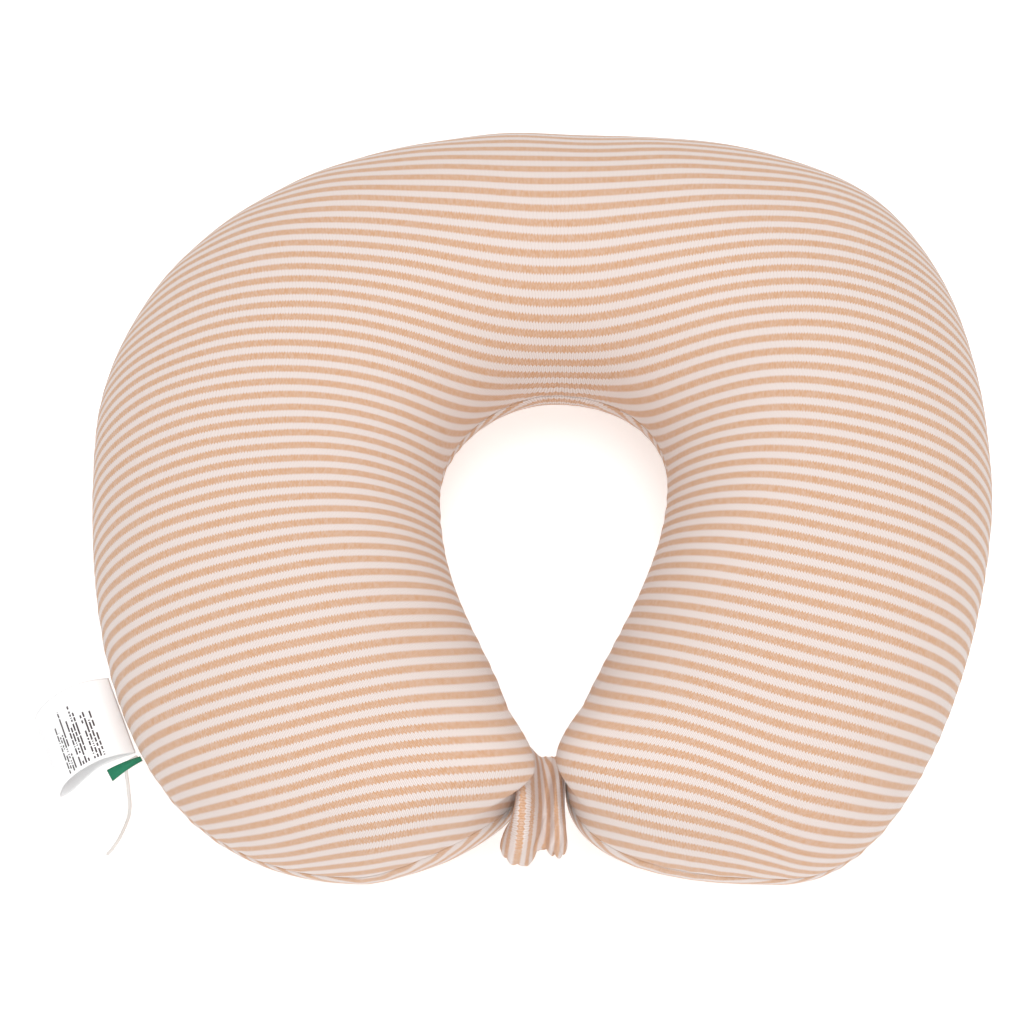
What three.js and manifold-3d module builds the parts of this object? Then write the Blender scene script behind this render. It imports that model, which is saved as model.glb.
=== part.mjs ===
// A U-shaped nursing pillow: a fibre-filled inner pillow in a zipped, striped knit cover.
// Its two arm tips are joined by a short gathered elastic tie, and a care label, a folded
// seam tab and a tag string are sewn into the left side seam.
// Millimetres. x runs across the pillow, y from the arm tips to the back edge, z up.
// The cover, the liner and the filling are each modelled in a left and a right half that
// meet at the middle of the back, because the arms flex apart about the back edge there.
import * as THREE from "three";
import { mergeVertices } from "three/addons/utils/BufferGeometryUtils.js";
import Module from "manifold-3d";

const wasm = await Module();
wasm.setup();

// ---- Driving dimensions -------------------------------------------------------------

// The pillow as a whole
const WIDTH = 547; // across both arms, at the side seam
const DEPTH = 488; // from the front of the lobes to the back edge
const SEAM_HEIGHT = 70; // the side seam above the surface that the pillow lies on
const CROWN = 80; // the top panel's crest above the seam
const SINK = 4; // how far the pillow's weight flattens its underside
const BACK_Y = 246; // the back edge
const BACK_BREADTH = 179; // from the back edge to the crown of the hole
const HOLE_WIDTH = 138; // the hole at its widest
const LEAN = 7.5; // how much further the left arm bulges than the right
const FULL_LOFT_BREADTH = 200; // an arm this broad reaches the full height
const SECTION_POWER = 0.95; // below 1 the section is a little squarer than an ellipse
const TIP_OVERHANG = [15, 9]; // how far the left and the right tip bulge over the tie
const OVERHANG_REACH = 38; // how far from a tip its overhang fades out
const OVERHANG_FROM = 0.3; // the height over the seam where it starts, as a share of the crown
const OVERHANG_FULL = 0.55;

// Cloth and clearances
const COVER_THICKNESS = 1.2; // knit cover
const LINER_THICKNESS = 0.8; // woven case of the inner pillow
const COVER_TO_LINER = 5.3; // room for the zip tapes between cover and liner
const LINER_TO_FILL = 1.2;
const SEAM_GAP = 0.5; // between the top and the bottom panel
const SPLIT_GAP = 0.4; // between the left and the right half
const FACE_GAP = 0.5; // between a sewn-on piece and the cover

// Zip, in the back of the left side seam
const ZIP_FROM_MIDDLE = 34; // along the seam, from the middle of the back to the coil
const ZIP_LENGTH = 165; // of the coil
const ZIP_OPENING = 11; // between the cover's two lips
const TAPE_WIDTH = 12;
const TAPE_THICKNESS = 0.6;
const TAPE_OVERRUN = 10; // of the tapes past each end of the coil
const COIL_WIDTH = 1.9; // of each half of the coil
const COIL_THICKNESS = 1.9;
const COIL_INSET = 1.4; // the coil's outer face below the line of the seam
const ZIP_GAP = 0.3; // between zip pieces that touch
const STOP_LENGTH = 3;
const ZIP_FACETS = 12; // along the tapes and the coil
const SLIDER_LENGTH = 11;
const SLIDER_WIDTH = 7.6;
const SLIDER_PLATE = 1.4;
const BAIL_LENGTH = 8.8;
const BAIL_WIDTH = 1.8;
const BAIL_WALL = 1.2;
const PULL_LENGTH = 24;
const PULL_WIDTH = 5.2;
const PULL_THICKNESS = 1.2;
const PULL_EYE_LENGTH = 5.2;
const PULL_EYE_WIDTH = 2.8;
const GRIP_MIDDLE = 0.66; // of the hole in the pull's grip, as a share of the pull's length
const GRIP_HOLE = [0.16, 0.22]; // the hole's half length and half width, as shares of the pull's

// Tie between the arm tips
const TIE_BREADTH = 64; // of the flattened sleeve, front to back
const TIE_LOFT = 38; // of the sleeve's gathers, bottom to top
const TIE_WALL = 2; // gathered knit
const TIE_FORWARD = 15; // the sleeve's middle in front of the arm tips
const ELASTIC_WIDTH = 30;
const ELASTIC_THICKNESS = 1.5;

// Sewn-in label, tab and string, on the left side seam
const LABEL_FROM_TIP = 293; // along the seam, from the arm tip to the label's middle
const LABEL_WIDTH = 50;
const LABEL_REACH = 50; // out from the seam
const LABEL_RISE = 9; // of its upper leaf above the seam
const LABEL_DROP = 24; // of its folded end below the seam
const LABEL_THICKNESS = 0.5;
const LABEL_FACETS = 36;
const LABEL_UPPER_LEAF = [[0.2, 0.75], [0.42, 1], [0.68, 0.4]]; // shares of the reach and rise
const LABEL_LOWER_LEAF = [
  [0.9, 0.35], [1, 1], [0.86, 0.95], [0.66, 0.5], [0.4, 0.04],
]; // shares of the reach and drop
const TAB_FROM_LABEL = 4.5; // from the label's end to the tab's middle
const TAB_LENGTH = 21;
const TAB_WIDTH = 7.7;
const TAB_ROOT_WIDTH = 3;
const TAB_THICKNESS = 0.8;
const STRING_DIAMETER = 2.1;
const STRING_CLEARANCE = 0.25; // over the surface that it lies on
const STRING_STEPS = 18;
const STRING_SIDES = 8;

// ---- The two arms' outlines at the side seam ----------------------------------------
// Each arm runs from its tip to the middle of the back. An arm's x is measured away from
// the middle plane. Each pair gives how far a quarter turn's two handles reach.

const LOBE_Y = BACK_Y - DEPTH;
const HOLE_CROWN_Y = BACK_Y - BACK_BREADTH;
const LEFT = {
  side: -1,
  reach: WIDTH / 2 + LEAN,
  widestY: 36,
  lobeX: 113,
  tip: [20, LOBE_Y + 52],
  holeY: -1,
  shoulder: [0.26, 0.85],
  flank: [0.83, 0.46],
  lobe: [0.31, 0.26],
  holeSide: [0.41, 0.47],
  holeCrown: [0.54, 0.45],
};
const RIGHT = {
  side: 1,
  reach: WIDTH / 2 - LEAN,
  widestY: 8,
  lobeX: 131,
  tip: [6, LOBE_Y + 62],
  holeY: 10,
  shoulder: [0.85, 0.69],
  flank: [0.64, 0.26],
  lobe: [0.65, 0.68],
  holeSide: [0.26, 0.4],
  holeCrown: [0.45, 0.71],
};

// A curve that leaves `from` along one axis and reaches `to` along another.
function turn(from, to, leaveAxis, arriveAxis, [leave, arrive]) {
  const first = from.clone();
  first[leaveAxis] += leave * (to[leaveAxis] - from[leaveAxis]);
  const second = to.clone();
  second[arriveAxis] += arrive * (from[arriveAxis] - to[arriveAxis]);
  return new THREE.CubicBezierCurve(from, first, second, to);
}

// The seam's outer path (round the lobe and the flank) and its path along the hole.
function seamPaths(arm) {
  const at = (x, y) => new THREE.Vector2(arm.side * x, y);
  const tip = at(...arm.tip);
  const lobe = at(arm.lobeX, LOBE_Y);
  const widest = at(arm.reach, arm.widestY);
  const holeWidest = at(HOLE_WIDTH / 2, arm.holeY);
  const outer = new THREE.CurvePath();
  outer.add(turn(tip, lobe, "y", "x", arm.lobe));
  outer.add(turn(lobe, widest, "x", "y", arm.flank));
  outer.add(turn(widest, at(0, BACK_Y), "y", "x", arm.shoulder));
  const inner = new THREE.CurvePath();
  inner.add(turn(tip, holeWidest, "y", "y", arm.holeSide));
  inner.add(turn(holeWidest, at(0, HOLE_CROWN_Y), "y", "x", arm.holeCrown));
  return { outer, inner };
}
LEFT.paths = seamPaths(LEFT);
RIGHT.paths = seamPaths(RIGHT);

// A point of a seam path at share u of its length, moved `inset` into the cloth.
function insetPoint(path, u, inset, turnSign) {
  const tangent = path.getTangent(u);
  const inward = new THREE.Vector2(-tangent.y, tangent.x).multiplyScalar(turnSign);
  return path.getPoint(u).addScaledVector(inward, inset);
}

const softPower = (value) => Math.sign(value) * Math.abs(value) ** SECTION_POWER;

// How far the top panel's cloth near an arm's tip bulges towards the other arm.
function overhang(arm, plan, rise) {
  const share = rise / CROWN;
  const { smoothstep } = THREE.MathUtils;
  const full = smoothstep(share, OVERHANG_FROM, OVERHANG_FULL) * (1 - smoothstep(share, 0.8, 1.1));
  const away = plan.distanceTo(arm.paths.outer.getPoint(0)) / OVERHANG_REACH;
  const most = TIP_OVERHANG[arm === LEFT ? 0 : 1];
  return -arm.side * most * full * Math.exp(-(away ** 2));
}

// One point of the padded form. u runs from the tip (0) to the middle of the back (1),
// angle from the outer seam (0) over the crest to the hole's seam (pi); `below` takes the
// bottom panel, inset is the depth under the cover's face and lift the rim's half gap.
function padPoint(arm, u, angle, below, inset, lift) {
  const outer = insetPoint(arm.paths.outer, u, inset, arm.side);
  const inner = insetPoint(arm.paths.inner, u, inset, -arm.side);
  const half = outer.clone().sub(inner).multiplyScalar(0.5);
  const fullBreadth = FULL_LOFT_BREADTH - 2 * inset;
  const breadth = Math.min((2 * half.length()) / fullBreadth, 1);
  const loft = Math.sqrt(1 - (1 - breadth) ** 2) * softPower(Math.sin(angle));
  const plan = outer.add(inner).multiplyScalar(0.5);
  plan.addScaledVector(half, softPower(Math.cos(angle)));
  const x = arm.side * Math.max(arm.side * plan.x, SPLIT_GAP / 2);
  const height = below ? SEAM_HEIGHT + SINK : CROWN;
  const rise = lift + (height - inset - lift) * loft;
  const z = below ? Math.max(SEAM_HEIGHT - rise, inset) : SEAM_HEIGHT + rise;
  return new THREE.Vector3(x + overhang(arm, plan, below ? 0 : rise), plan.y, z);
}

// ---- Mesh helpers --------------------------------------------------------------------

const SAME_POINT = 1e-4;

// A flat lid over a loop of points, wound the way the loop runs.
function lid(loop) {
  const normal = new THREE.Vector3();
  loop.forEach((p, k) => {
    const q = loop[(k + 1) % loop.length];
    normal.add(p.clone().cross(q));
  });
  if (normal.length() < SAME_POINT) return [];
  normal.normalize();
  const aside = Math.abs(normal.z) < 0.9 ? new THREE.Vector3(0, 0, 1) : new THREE.Vector3(1, 0, 0);
  const across = aside.cross(normal).normalize();
  const up = normal.clone().cross(across);
  const flat = loop.map((p) => new THREE.Vector2(p.dot(across), p.dot(up)));
  return THREE.ShapeUtils.triangulateShape(flat, []).map((face) => face.map((k) => loop[k]));
}

// A closed body through a row of loops with the same number of points. Each patch between
// two loops is split along its shorter diagonal, so that nested bodies split alike.
function loft(loops) {
  const triangles = [];
  loops.slice(1).forEach((loop, row) => {
    const before = loops[row];
    loop.forEach((point, k) => {
      const next = (k + 1) % loop.length;
      if (before[k].distanceTo(loop[next]) < before[next].distanceTo(point)) {
        triangles.push([before[k], before[next], loop[next]], [before[k], loop[next], point]);
      } else {
        triangles.push([before[k], before[next], point], [before[next], loop[next], point]);
      }
    });
  });
  lid(loops[0]).forEach(([a, b, c]) => triangles.push([a, c, b]));
  triangles.push(...lid(loops.at(-1)));
  const whole = triangles.filter(
    ([a, b, c]) =>
      a.distanceTo(b) > SAME_POINT && b.distanceTo(c) > SAME_POINT && c.distanceTo(a) > SAME_POINT,
  );
  const volume = whole.reduce((sum, [a, b, c]) => sum + a.dot(b.clone().cross(c)), 0);
  const corners = volume < 0 ? whole.map(([a, b, c]) => [a, c, b]) : whole;
  const geometry = new THREE.BufferGeometry().setFromPoints(corners.flat());
  geometry.computeVertexNormals();
  return geometry;
}

// Values from 0 to 1, close together at both ends.
const easedSteps = (count) =>
  Array.from({ length: count + 1 }, (_, k) => (1 - Math.cos((Math.PI * k) / count)) / 2);
const evenSteps = (count) => Array.from({ length: count + 1 }, (_, k) => k / count);

// Half of a panel of cloth, `thickness` thick, whose face lies `inset` under the cover's face.
// rimAt(u) is half the gap that its outer edge leaves to the other panel.
function panel(arm, below, inset, thickness, stations, facets, rimAt) {
  const line = (u, depth) => {
    const lift = SEAM_GAP / 2;
    const extra = Math.min((rimAt(u) - lift) / CROWN, 1);
    const start = Math.asin(Math.max(extra, 0));
    const angles = evenSteps(facets).map((share) => start + share * (Math.PI - start));
    return angles.map((angle) => padPoint(arm, u, angle, below, depth, lift));
  };
  const loops = easedSteps(stations).map((u) => {
    return [...line(u, inset), ...line(u, inset + thickness).reverse()];
  });
  return loft(loops);
}

// Half of the filling: one solid body under the liner.
function filling(arm, inset, stations, facets) {
  const loops = easedSteps(stations).map((u) => {
    const over = evenSteps(facets).map((s) => padPoint(arm, u, s * Math.PI, false, inset, 0));
    const under = evenSteps(facets).map((s) => padPoint(arm, u, s * Math.PI, true, inset, 0));
    return [...over, ...under.slice(1, -1).reverse()];
  });
  return loft(loops);
}

const closedSeam = () => SEAM_GAP / 2;

function solidOf(geometry) {
  const bare = geometry.index ? geometry.toNonIndexed() : geometry.clone();
  bare.deleteAttribute("normal");
  bare.deleteAttribute("uv");
  const merged = mergeVertices(bare, SAME_POINT);
  const mesh = new wasm.Mesh({
    numProp: 3,
    vertProperties: merged.attributes.position.array,
    triVerts: new Uint32Array(merged.index.array),
  });
  return new wasm.Manifold(mesh);
}

function joined(...geometries) {
  const whole = geometries.map(solidOf).reduce((sum, piece) => sum.add(piece));
  const { vertProperties, triVerts } = whole.getMesh();
  const geometry = new THREE.BufferGeometry();
  geometry.setAttribute("position", new THREE.BufferAttribute(vertProperties, 3));
  geometry.setIndex(new THREE.BufferAttribute(triVerts, 1));
  geometry.computeVertexNormals();
  return geometry;
}

// A plate cut from a shape and lying in the x-z plane, from y = low to y = high.
function plate(shape, low, high, curveSegments = 6) {
  const options = { depth: high - low, bevelEnabled: false, curveSegments };
  return new THREE.ExtrudeGeometry(shape, options).rotateX(Math.PI / 2).translate(0, high, 0);
}

function rectangle(x0, x1, y0, y1) {
  const corners = [[x0, y0], [x1, y0], [x1, y1], [x0, y1]];
  return new THREE.Shape(corners.map(([x, y]) => new THREE.Vector2(x, y)));
}

// ---- Materials -----------------------------------------------------------------------

const finish = (color, roughness, metalness = 0) => ({ color, roughness, metalness });
const STRIPED_KNIT = finish(0xe3bb98, 0.9);
const LINER_COTTON = finish(0xf4efe8, 0.9);
const FIBRE = finish(0xfbfaf7, 1);
const TAPE_CLOTH = finish(0xe9d3bd, 0.85);
const NYLON = finish(0xe2c9ae, 0.5);
const METAL = finish(0xc9c6c0, 0.35, 1);
const SATIN = finish(0xfafafa, 0.5);
const GREEN_RIBBON = finish(0x0c8a64, 0.6);
const ELASTIC = finish(0xf2eee8, 0.8);
const COTTON_CORD = finish(0xece5dd, 0.9);

const pillow = new THREE.Group();

function add(name, geometry, look, parent = pillow) {
  const mesh = new THREE.Mesh(geometry, new THREE.MeshStandardMaterial(look));
  mesh.name = name;
  parent.add(mesh);
  return mesh;
}

// ---- Zip path ------------------------------------------------------------------------
// The slider runs on a true arc: the circle through three points of the back-left seam.

const backLeft = LEFT.paths.outer;
const backLeftLength = backLeft.getLength();
const seamAt = (fromMiddle) => backLeft.getPoint(1 - fromMiddle / backLeftLength);

function circleThrough(a, b, c) {
  const ab = b.clone().sub(a);
  const ac = c.clone().sub(a);
  const twist = 2 * ab.cross(ac);
  const x = (ac.y * ab.lengthSq() - ab.y * ac.lengthSq()) / twist;
  const y = (ab.x * ac.lengthSq() - ac.x * ab.lengthSq()) / twist;
  return { center: new THREE.Vector2(a.x + x, a.y + y), radius: Math.hypot(x, y) };
}

const zipEnds = [ZIP_FROM_MIDDLE, ZIP_FROM_MIDDLE + ZIP_LENGTH];
const zipPoints = [zipEnds[0], (zipEnds[0] + zipEnds[1]) / 2, zipEnds[1]].map(seamAt);
const { center: zipCenter, radius: zipRadius } = circleThrough(...zipPoints);
const zipStart = zipPoints[0].clone().sub(zipCenter).angle();
const alongZip = (distance) => zipStart + distance / zipRadius;

// A band that follows the zip's arc from one distance to another; profile is [radius, z].
function zipBand(from, to, profile, steps) {
  const loops = evenSteps(steps).map((share) => {
    const angle = alongZip(from + share * (to - from));
    return profile.map(([radius, z]) => {
      const x = zipCenter.x + radius * Math.cos(angle);
      const y = zipCenter.y + radius * Math.sin(angle);
      return new THREE.Vector3(x, y, SEAM_HEIGHT + z);
    });
  });
  return loft(loops);
}

const coilOuter = zipRadius - COIL_INSET;
const coilInner = coilOuter - COIL_THICKNESS;
const coilProfile = (sign) => [
  [coilInner, sign * (ZIP_GAP / 2)],
  [coilOuter - COIL_THICKNESS / 4, sign * (ZIP_GAP / 2)],
  [coilOuter, sign * (ZIP_GAP / 2 + COIL_WIDTH / 4)],
  [coilOuter, sign * (ZIP_GAP / 2 + (3 * COIL_WIDTH) / 4)],
  [coilOuter - COIL_THICKNESS / 4, sign * (ZIP_GAP / 2 + COIL_WIDTH)],
  [coilInner, sign * (ZIP_GAP / 2 + COIL_WIDTH)],
];

// The tapes curve with the pillow's section behind the cover's lips.
const tapeFace = (z) => coilInner - ZIP_GAP - z ** 2 / CROWN / 2;
const tapeProfile = (sign) => {
  const heights = evenSteps(3).map((share) => ZIP_GAP / 2 + share * TAPE_WIDTH);
  const face = heights.map((z) => [tapeFace(z), sign * z]);
  const back = heights.map((z) => [tapeFace(z) - TAPE_THICKNESS, sign * z]);
  return [...face, ...back.reverse()];
};

// Half the gap between the cover's lips: wide along the zip, closed elsewhere.
function coverRim(u) {
  const fromMiddle = (1 - u) * backLeftLength;
  const opened = THREE.MathUtils.smoothstep(fromMiddle, 0, zipEnds[0] - STOP_LENGTH);
  const closed = THREE.MathUtils.smoothstep(
    fromMiddle, zipEnds[1] + TAPE_OVERRUN, zipEnds[1] + 4 * TAPE_OVERRUN,
  );
  return SEAM_GAP / 2 + ((ZIP_OPENING - SEAM_GAP) / 2) * opened * (1 - closed);
}

// ---- Cover, liner and filling ----------------------------------------------------------

const COVER_GRID = [32, 12];
const LINER_GRID = [22, 8];
const linerInset = COVER_THICKNESS + COVER_TO_LINER;
const fillInset = linerInset + LINER_THICKNESS + LINER_TO_FILL;

for (const [hand, arm] of [["left", LEFT], ["right", RIGHT]]) {
  const rim = arm === LEFT ? coverRim : closedSeam;
  for (const [level, below] of [["top", false], ["bottom", true]]) {
    const cover = panel(arm, below, 0, COVER_THICKNESS, ...COVER_GRID, rim);
    add(`cover_${level}_${hand}`, cover, STRIPED_KNIT);
    const liner = panel(arm, below, linerInset, LINER_THICKNESS, ...LINER_GRID, closedSeam);
    add(`liner_${level}_${hand}`, liner, LINER_COTTON);
  }
  add(`fibre_fill_${hand}`, filling(arm, fillInset, ...LINER_GRID), FIBRE);
}

// ---- Zip -------------------------------------------------------------------------------

for (const [level, sign] of [["upper", 1], ["lower", -1]]) {
  const ends = [-TAPE_OVERRUN, ZIP_LENGTH + TAPE_OVERRUN];
  add(`zip_tape_${level}`, zipBand(...ends, tapeProfile(sign), ZIP_FACETS), TAPE_CLOTH);
  add(`zip_coil_${level}`, zipBand(0, ZIP_LENGTH, coilProfile(sign), ZIP_FACETS), NYLON);
  const nearSide = sign * (ZIP_GAP / 2);
  const farSide = sign * (ZIP_GAP / 2 + COIL_WIDTH);
  const stopProfile = [
    [coilInner, nearSide],
    [coilOuter, nearSide],
    [coilOuter, farSide],
    [coilInner, farSide],
  ];
  const stop = zipBand(-ZIP_GAP - STOP_LENGTH, -ZIP_GAP, stopProfile, 1);
  add(`zip_top_stop_${level}`, stop, METAL);
}
const stopSide = ZIP_GAP / 2 + COIL_WIDTH;
const bottomBlock = [
  [coilInner, -stopSide],
  [coilOuter, -stopSide],
  [coilOuter, stopSide],
  [coilInner, stopSide],
];
const bottomStop = zipBand(ZIP_LENGTH + ZIP_GAP, ZIP_LENGTH + ZIP_GAP + STOP_LENGTH, bottomBlock, 1);
add("zip_bottom_stop", bottomStop, METAL);

// The slider's own frame: +x along the zip towards its top stops, +y out of the cover.
const sliderHome = SLIDER_LENGTH / 2 + ZIP_GAP;
const sliderTravel = ZIP_LENGTH - 2 * sliderHome;
const slider = new THREE.Group();
const sliderAngle = alongZip(sliderHome);
slider.position.set(
  zipCenter.x + zipRadius * Math.cos(sliderAngle),
  zipCenter.y + zipRadius * Math.sin(sliderAngle),
  SEAM_HEIGHT,
);
slider.rotation.z = sliderAngle - Math.PI / 2;
pillow.add(slider);

const plateLow = -COIL_INSET + ZIP_GAP;
const plateTop = plateLow + SLIDER_PLATE;
const pinHeight = plateTop + ZIP_GAP + PULL_THICKNESS * 0.75;
const bailLow = pinHeight + PULL_THICKNESS / 2 + ZIP_GAP;
const halfLength = SLIDER_LENGTH / 2;
const halfWidth = SLIDER_WIDTH / 2;
const flangeWidth = halfWidth - stopSide - ZIP_GAP;
const flangeLow = -COIL_INSET - COIL_THICKNESS;

function block(x0, x1, y0, y1, z0, z1) {
  const box = new THREE.BoxGeometry(x1 - x0, y1 - y0, z1 - z0);
  return box.translate((x0 + x1) / 2, (y0 + y1) / 2, (z0 + z1) / 2);
}
const legOf = (x0) =>
  block(x0, x0 + BAIL_WALL, plateLow, bailLow + BAIL_WALL, -BAIL_WIDTH / 2, BAIL_WIDTH / 2);
const sliderBody = joined(
  block(-halfLength, halfLength, plateLow, plateTop, -halfWidth, halfWidth),
  block(-halfLength, halfLength, flangeLow, plateTop, halfWidth - flangeWidth, halfWidth),
  block(-halfLength, halfLength, flangeLow, plateTop, -halfWidth, flangeWidth - halfWidth),
  legOf(-BAIL_LENGTH / 2),
  legOf(BAIL_LENGTH / 2 - BAIL_WALL),
  block(
    -BAIL_LENGTH / 2, BAIL_LENGTH / 2, bailLow, bailLow + BAIL_WALL, -BAIL_WIDTH / 2, BAIL_WIDTH / 2,
  ),
);
add("zip_slider", sliderBody, METAL, slider);

// The pull hooks under the bail with the crossbar at its near end and lies along the zip.
const pullBar = PULL_THICKNESS / 2;
const pullShape = new THREE.Shape();
const pullRound = PULL_WIDTH / 2;
pullShape.moveTo(-pullBar, -pullRound);
pullShape.lineTo(PULL_LENGTH - pullRound, -pullRound);
pullShape.absarc(PULL_LENGTH - pullRound, 0, pullRound, -Math.PI / 2, Math.PI / 2, false);
pullShape.lineTo(-pullBar, pullRound);
pullShape.closePath();
const eye = rectangle(pullBar, pullBar + PULL_EYE_LENGTH, -PULL_EYE_WIDTH / 2, PULL_EYE_WIDTH / 2);
pullShape.holes.push(new THREE.Path(eye.getPoints().reverse()));
const gripHole = new THREE.Path();
gripHole.absellipse(
  PULL_LENGTH * GRIP_MIDDLE, 0, PULL_LENGTH * GRIP_HOLE[0], PULL_WIDTH * GRIP_HOLE[1],
  0, 2 * Math.PI, true,
);
pullShape.holes.push(gripHole);
add("zip_pull", plate(pullShape, pinHeight - pullBar, pinHeight + pullBar), METAL, slider);

// ---- Tie between the arm tips ------------------------------------------------------------

const [tipLeft, tipRight] = [LEFT, RIGHT].map((arm) => arm.paths.outer.getPoint(0));
const tieLength = tipRight.x - tipLeft.x - 2 * FACE_GAP;
const tieMiddle = new THREE.Vector3(
  (tipLeft.x + tipRight.x) / 2,
  (tipLeft.y + tipRight.y) / 2 - TIE_FORWARD,
  SEAM_HEIGHT,
);

// A flattened sleeve or band whose axis runs along x.
function acrossGap(shape) {
  const options = { depth: tieLength, bevelEnabled: false, curveSegments: 14 };
  const geometry = new THREE.ExtrudeGeometry(shape, options).translate(0, 0, -tieLength / 2);
  geometry.rotateX(Math.PI / 2).rotateZ(Math.PI / 2);
  return geometry.translate(tieMiddle.x, tieMiddle.y, tieMiddle.z);
}
const sleeve = new THREE.Shape();
sleeve.absellipse(0, 0, TIE_BREADTH / 2, TIE_LOFT / 2, 0, 2 * Math.PI, false);
const bore = new THREE.Path();
bore.absellipse(0, 0, TIE_BREADTH / 2 - TIE_WALL, TIE_LOFT / 2 - TIE_WALL, 0, 2 * Math.PI, true);
sleeve.holes.push(bore);
add("tie_casing", acrossGap(sleeve), STRIPED_KNIT);
const bandHalf = [ELASTIC_WIDTH / 2, ELASTIC_THICKNESS / 2];
const elasticBand = rectangle(-bandHalf[0], bandHalf[0], -bandHalf[1], bandHalf[1]);
add("tie_elastic", acrossGap(elasticBand), ELASTIC);

// ---- Label, tab and string on the left side seam -------------------------------------------

// A frame on the seam: +x out of the cover, +y along the seam towards the arm's tip.
function onLeftSeam(fromTip) {
  const u = fromTip / backLeftLength;
  const point = backLeft.getPoint(u);
  const frame = new THREE.Group();
  frame.position.set(point.x, point.y, SEAM_HEIGHT);
  frame.rotation.z = backLeft.getTangent(u).angle() + Math.PI / 2;
  frame.updateMatrix();
  pillow.add(frame);
  return frame;
}

// The label is one satin strip folded into a loop: both its ends meet at the seam.
const labelFrame = onLeftSeam(LABEL_FROM_TIP);
const loopCorners = [
  [0, LABEL_THICKNESS],
  ...LABEL_UPPER_LEAF.map(([out, up]) => [LABEL_REACH * out, LABEL_RISE * up]),
  ...LABEL_LOWER_LEAF.map(([out, down]) => [LABEL_REACH * out, -LABEL_DROP * down]),
  [0, -LABEL_THICKNESS],
];
const loopLine = new THREE.CatmullRomCurve3(
  loopCorners.map(([out, up]) => new THREE.Vector3(out, up, 0)),
);
const loopPoints = loopLine.getPoints(LABEL_FACETS);
const loopSide = (offset) =>
  loopPoints.map((point, k) => {
    const ahead = loopPoints[Math.min(k + 1, loopPoints.length - 1)];
    const behind = loopPoints[Math.max(k - 1, 0)];
    const along = ahead.clone().sub(behind).normalize();
    return new THREE.Vector2(point.x - along.y * offset, point.y + along.x * offset);
  });
const strip = [...loopSide(LABEL_THICKNESS / 2), ...loopSide(-LABEL_THICKNESS / 2).reverse()];
const labelShape = new THREE.Shape(strip);
const label = new THREE.ExtrudeGeometry(labelShape, { depth: LABEL_WIDTH, bevelEnabled: false });
label.rotateX(Math.PI / 2).translate(FACE_GAP, LABEL_WIDTH / 2, 0);
add("care_label", label, SATIN, labelFrame);

const tabFrame = onLeftSeam(LABEL_FROM_TIP - LABEL_WIDTH / 2 - TAB_FROM_LABEL);
const tabShape = new THREE.Shape();
tabShape.moveTo(FACE_GAP, -TAB_ROOT_WIDTH / 2);
tabShape.lineTo(TAB_LENGTH, -TAB_WIDTH / 2);
tabShape.lineTo(TAB_LENGTH, TAB_WIDTH / 2);
tabShape.lineTo(FACE_GAP, TAB_ROOT_WIDTH / 2);
tabShape.closePath();
const tab = new THREE.ExtrudeGeometry(tabShape, { depth: TAB_THICKNESS, bevelEnabled: false });
add("seam_tab", tab.translate(0, 0, TAB_THICKNESS / 2), GREEN_RIBBON, tabFrame);

// The string leaves the seam under the tab, drops to the surface and trails along it. Each
// point is given out of the cover, along the seam towards the tip, and as a share of the way
// up from the surface to the seam.
const STRING_ROUTE = [
  [1.7, -2.8, 0.974], [5.1, -2.9, 0.971], [8.2, -2.9, 0.948], [10.2, -2.7, 0.891],
  [11.4, -2.2, 0.796], [12.4, -1.6, 0.68], [13.5, -1.1, 0.549], [14.7, -0.7, 0.418],
  [15.9, -0.2, 0.287], [17.1, 0.5, 0.17], [18.7, 1.6, 0.076], [21.1, 3.7, 0.019],
  [24.4, 6.6, 0.001], [28.5, 10, 0], [33.1, 13.4, 0], [37.9, 16.1, 0], [43.1, 18.2, 0],
];
const stringRest = STRING_DIAMETER / 2 + STRING_CLEARANCE;
const stringLine = new THREE.CatmullRomCurve3(
  STRING_ROUTE.map(([out, along, share]) => {
    const point = new THREE.Vector3(out, along, 0).applyMatrix4(tabFrame.matrix);
    return point.setZ(stringRest + share * (SEAM_HEIGHT - stringRest));
  }),
);
const stringSection = new THREE.Shape();
stringSection.absarc(0, 0, STRING_DIAMETER / 2, 0, 2 * Math.PI, false);
const stringTube = new THREE.ExtrudeGeometry(
  new THREE.Shape(stringSection.getSpacedPoints(STRING_SIDES).slice(0, STRING_SIDES)),
  { steps: STRING_STEPS, extrudePath: stringLine, bevelEnabled: false },
);
add("tag_string", stringTube, COTTON_CORD);

// ---- Joints, and the reference point ---------------------------------------------------------

const SPREAD_LIMIT = 8; // degrees that the arms open before the tie is taut
pillow.userData.joints = [
  { name: "arms_spread", pivot: [0, BACK_Y, SEAM_HEIGHT], axis: [0, 0, 1], degrees: [0, SPREAD_LIMIT] },
  {
    name: "zip_slider",
    pivot: [zipCenter.x, zipCenter.y, SEAM_HEIGHT],
    axis: [0, 0, 1],
    degrees: [0, THREE.MathUtils.radToDeg(sliderTravel / zipRadius)],
  },
  {
    name: "zip_pull",
    pivot: new THREE.Vector3(0, pinHeight, 0).applyMatrix4(
      new THREE.Matrix4().compose(slider.position, slider.quaternion, slider.scale),
    ).toArray(),
    axis: [0, 0, 1],
    degrees: [0, 170],
  },
];

// The origin is on the surface below, under the middle of the pillow without its string.
const bounds = new THREE.Box3();
pillow.updateMatrixWorld(true);
for (const child of pillow.children) {
  if (child.name !== "tag_string") bounds.expandByObject(child, true);
}
const middle = bounds.getCenter(new THREE.Vector3());
pillow.position.set(-middle.x, -middle.y, -bounds.min.z);

export default pillow;
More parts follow.
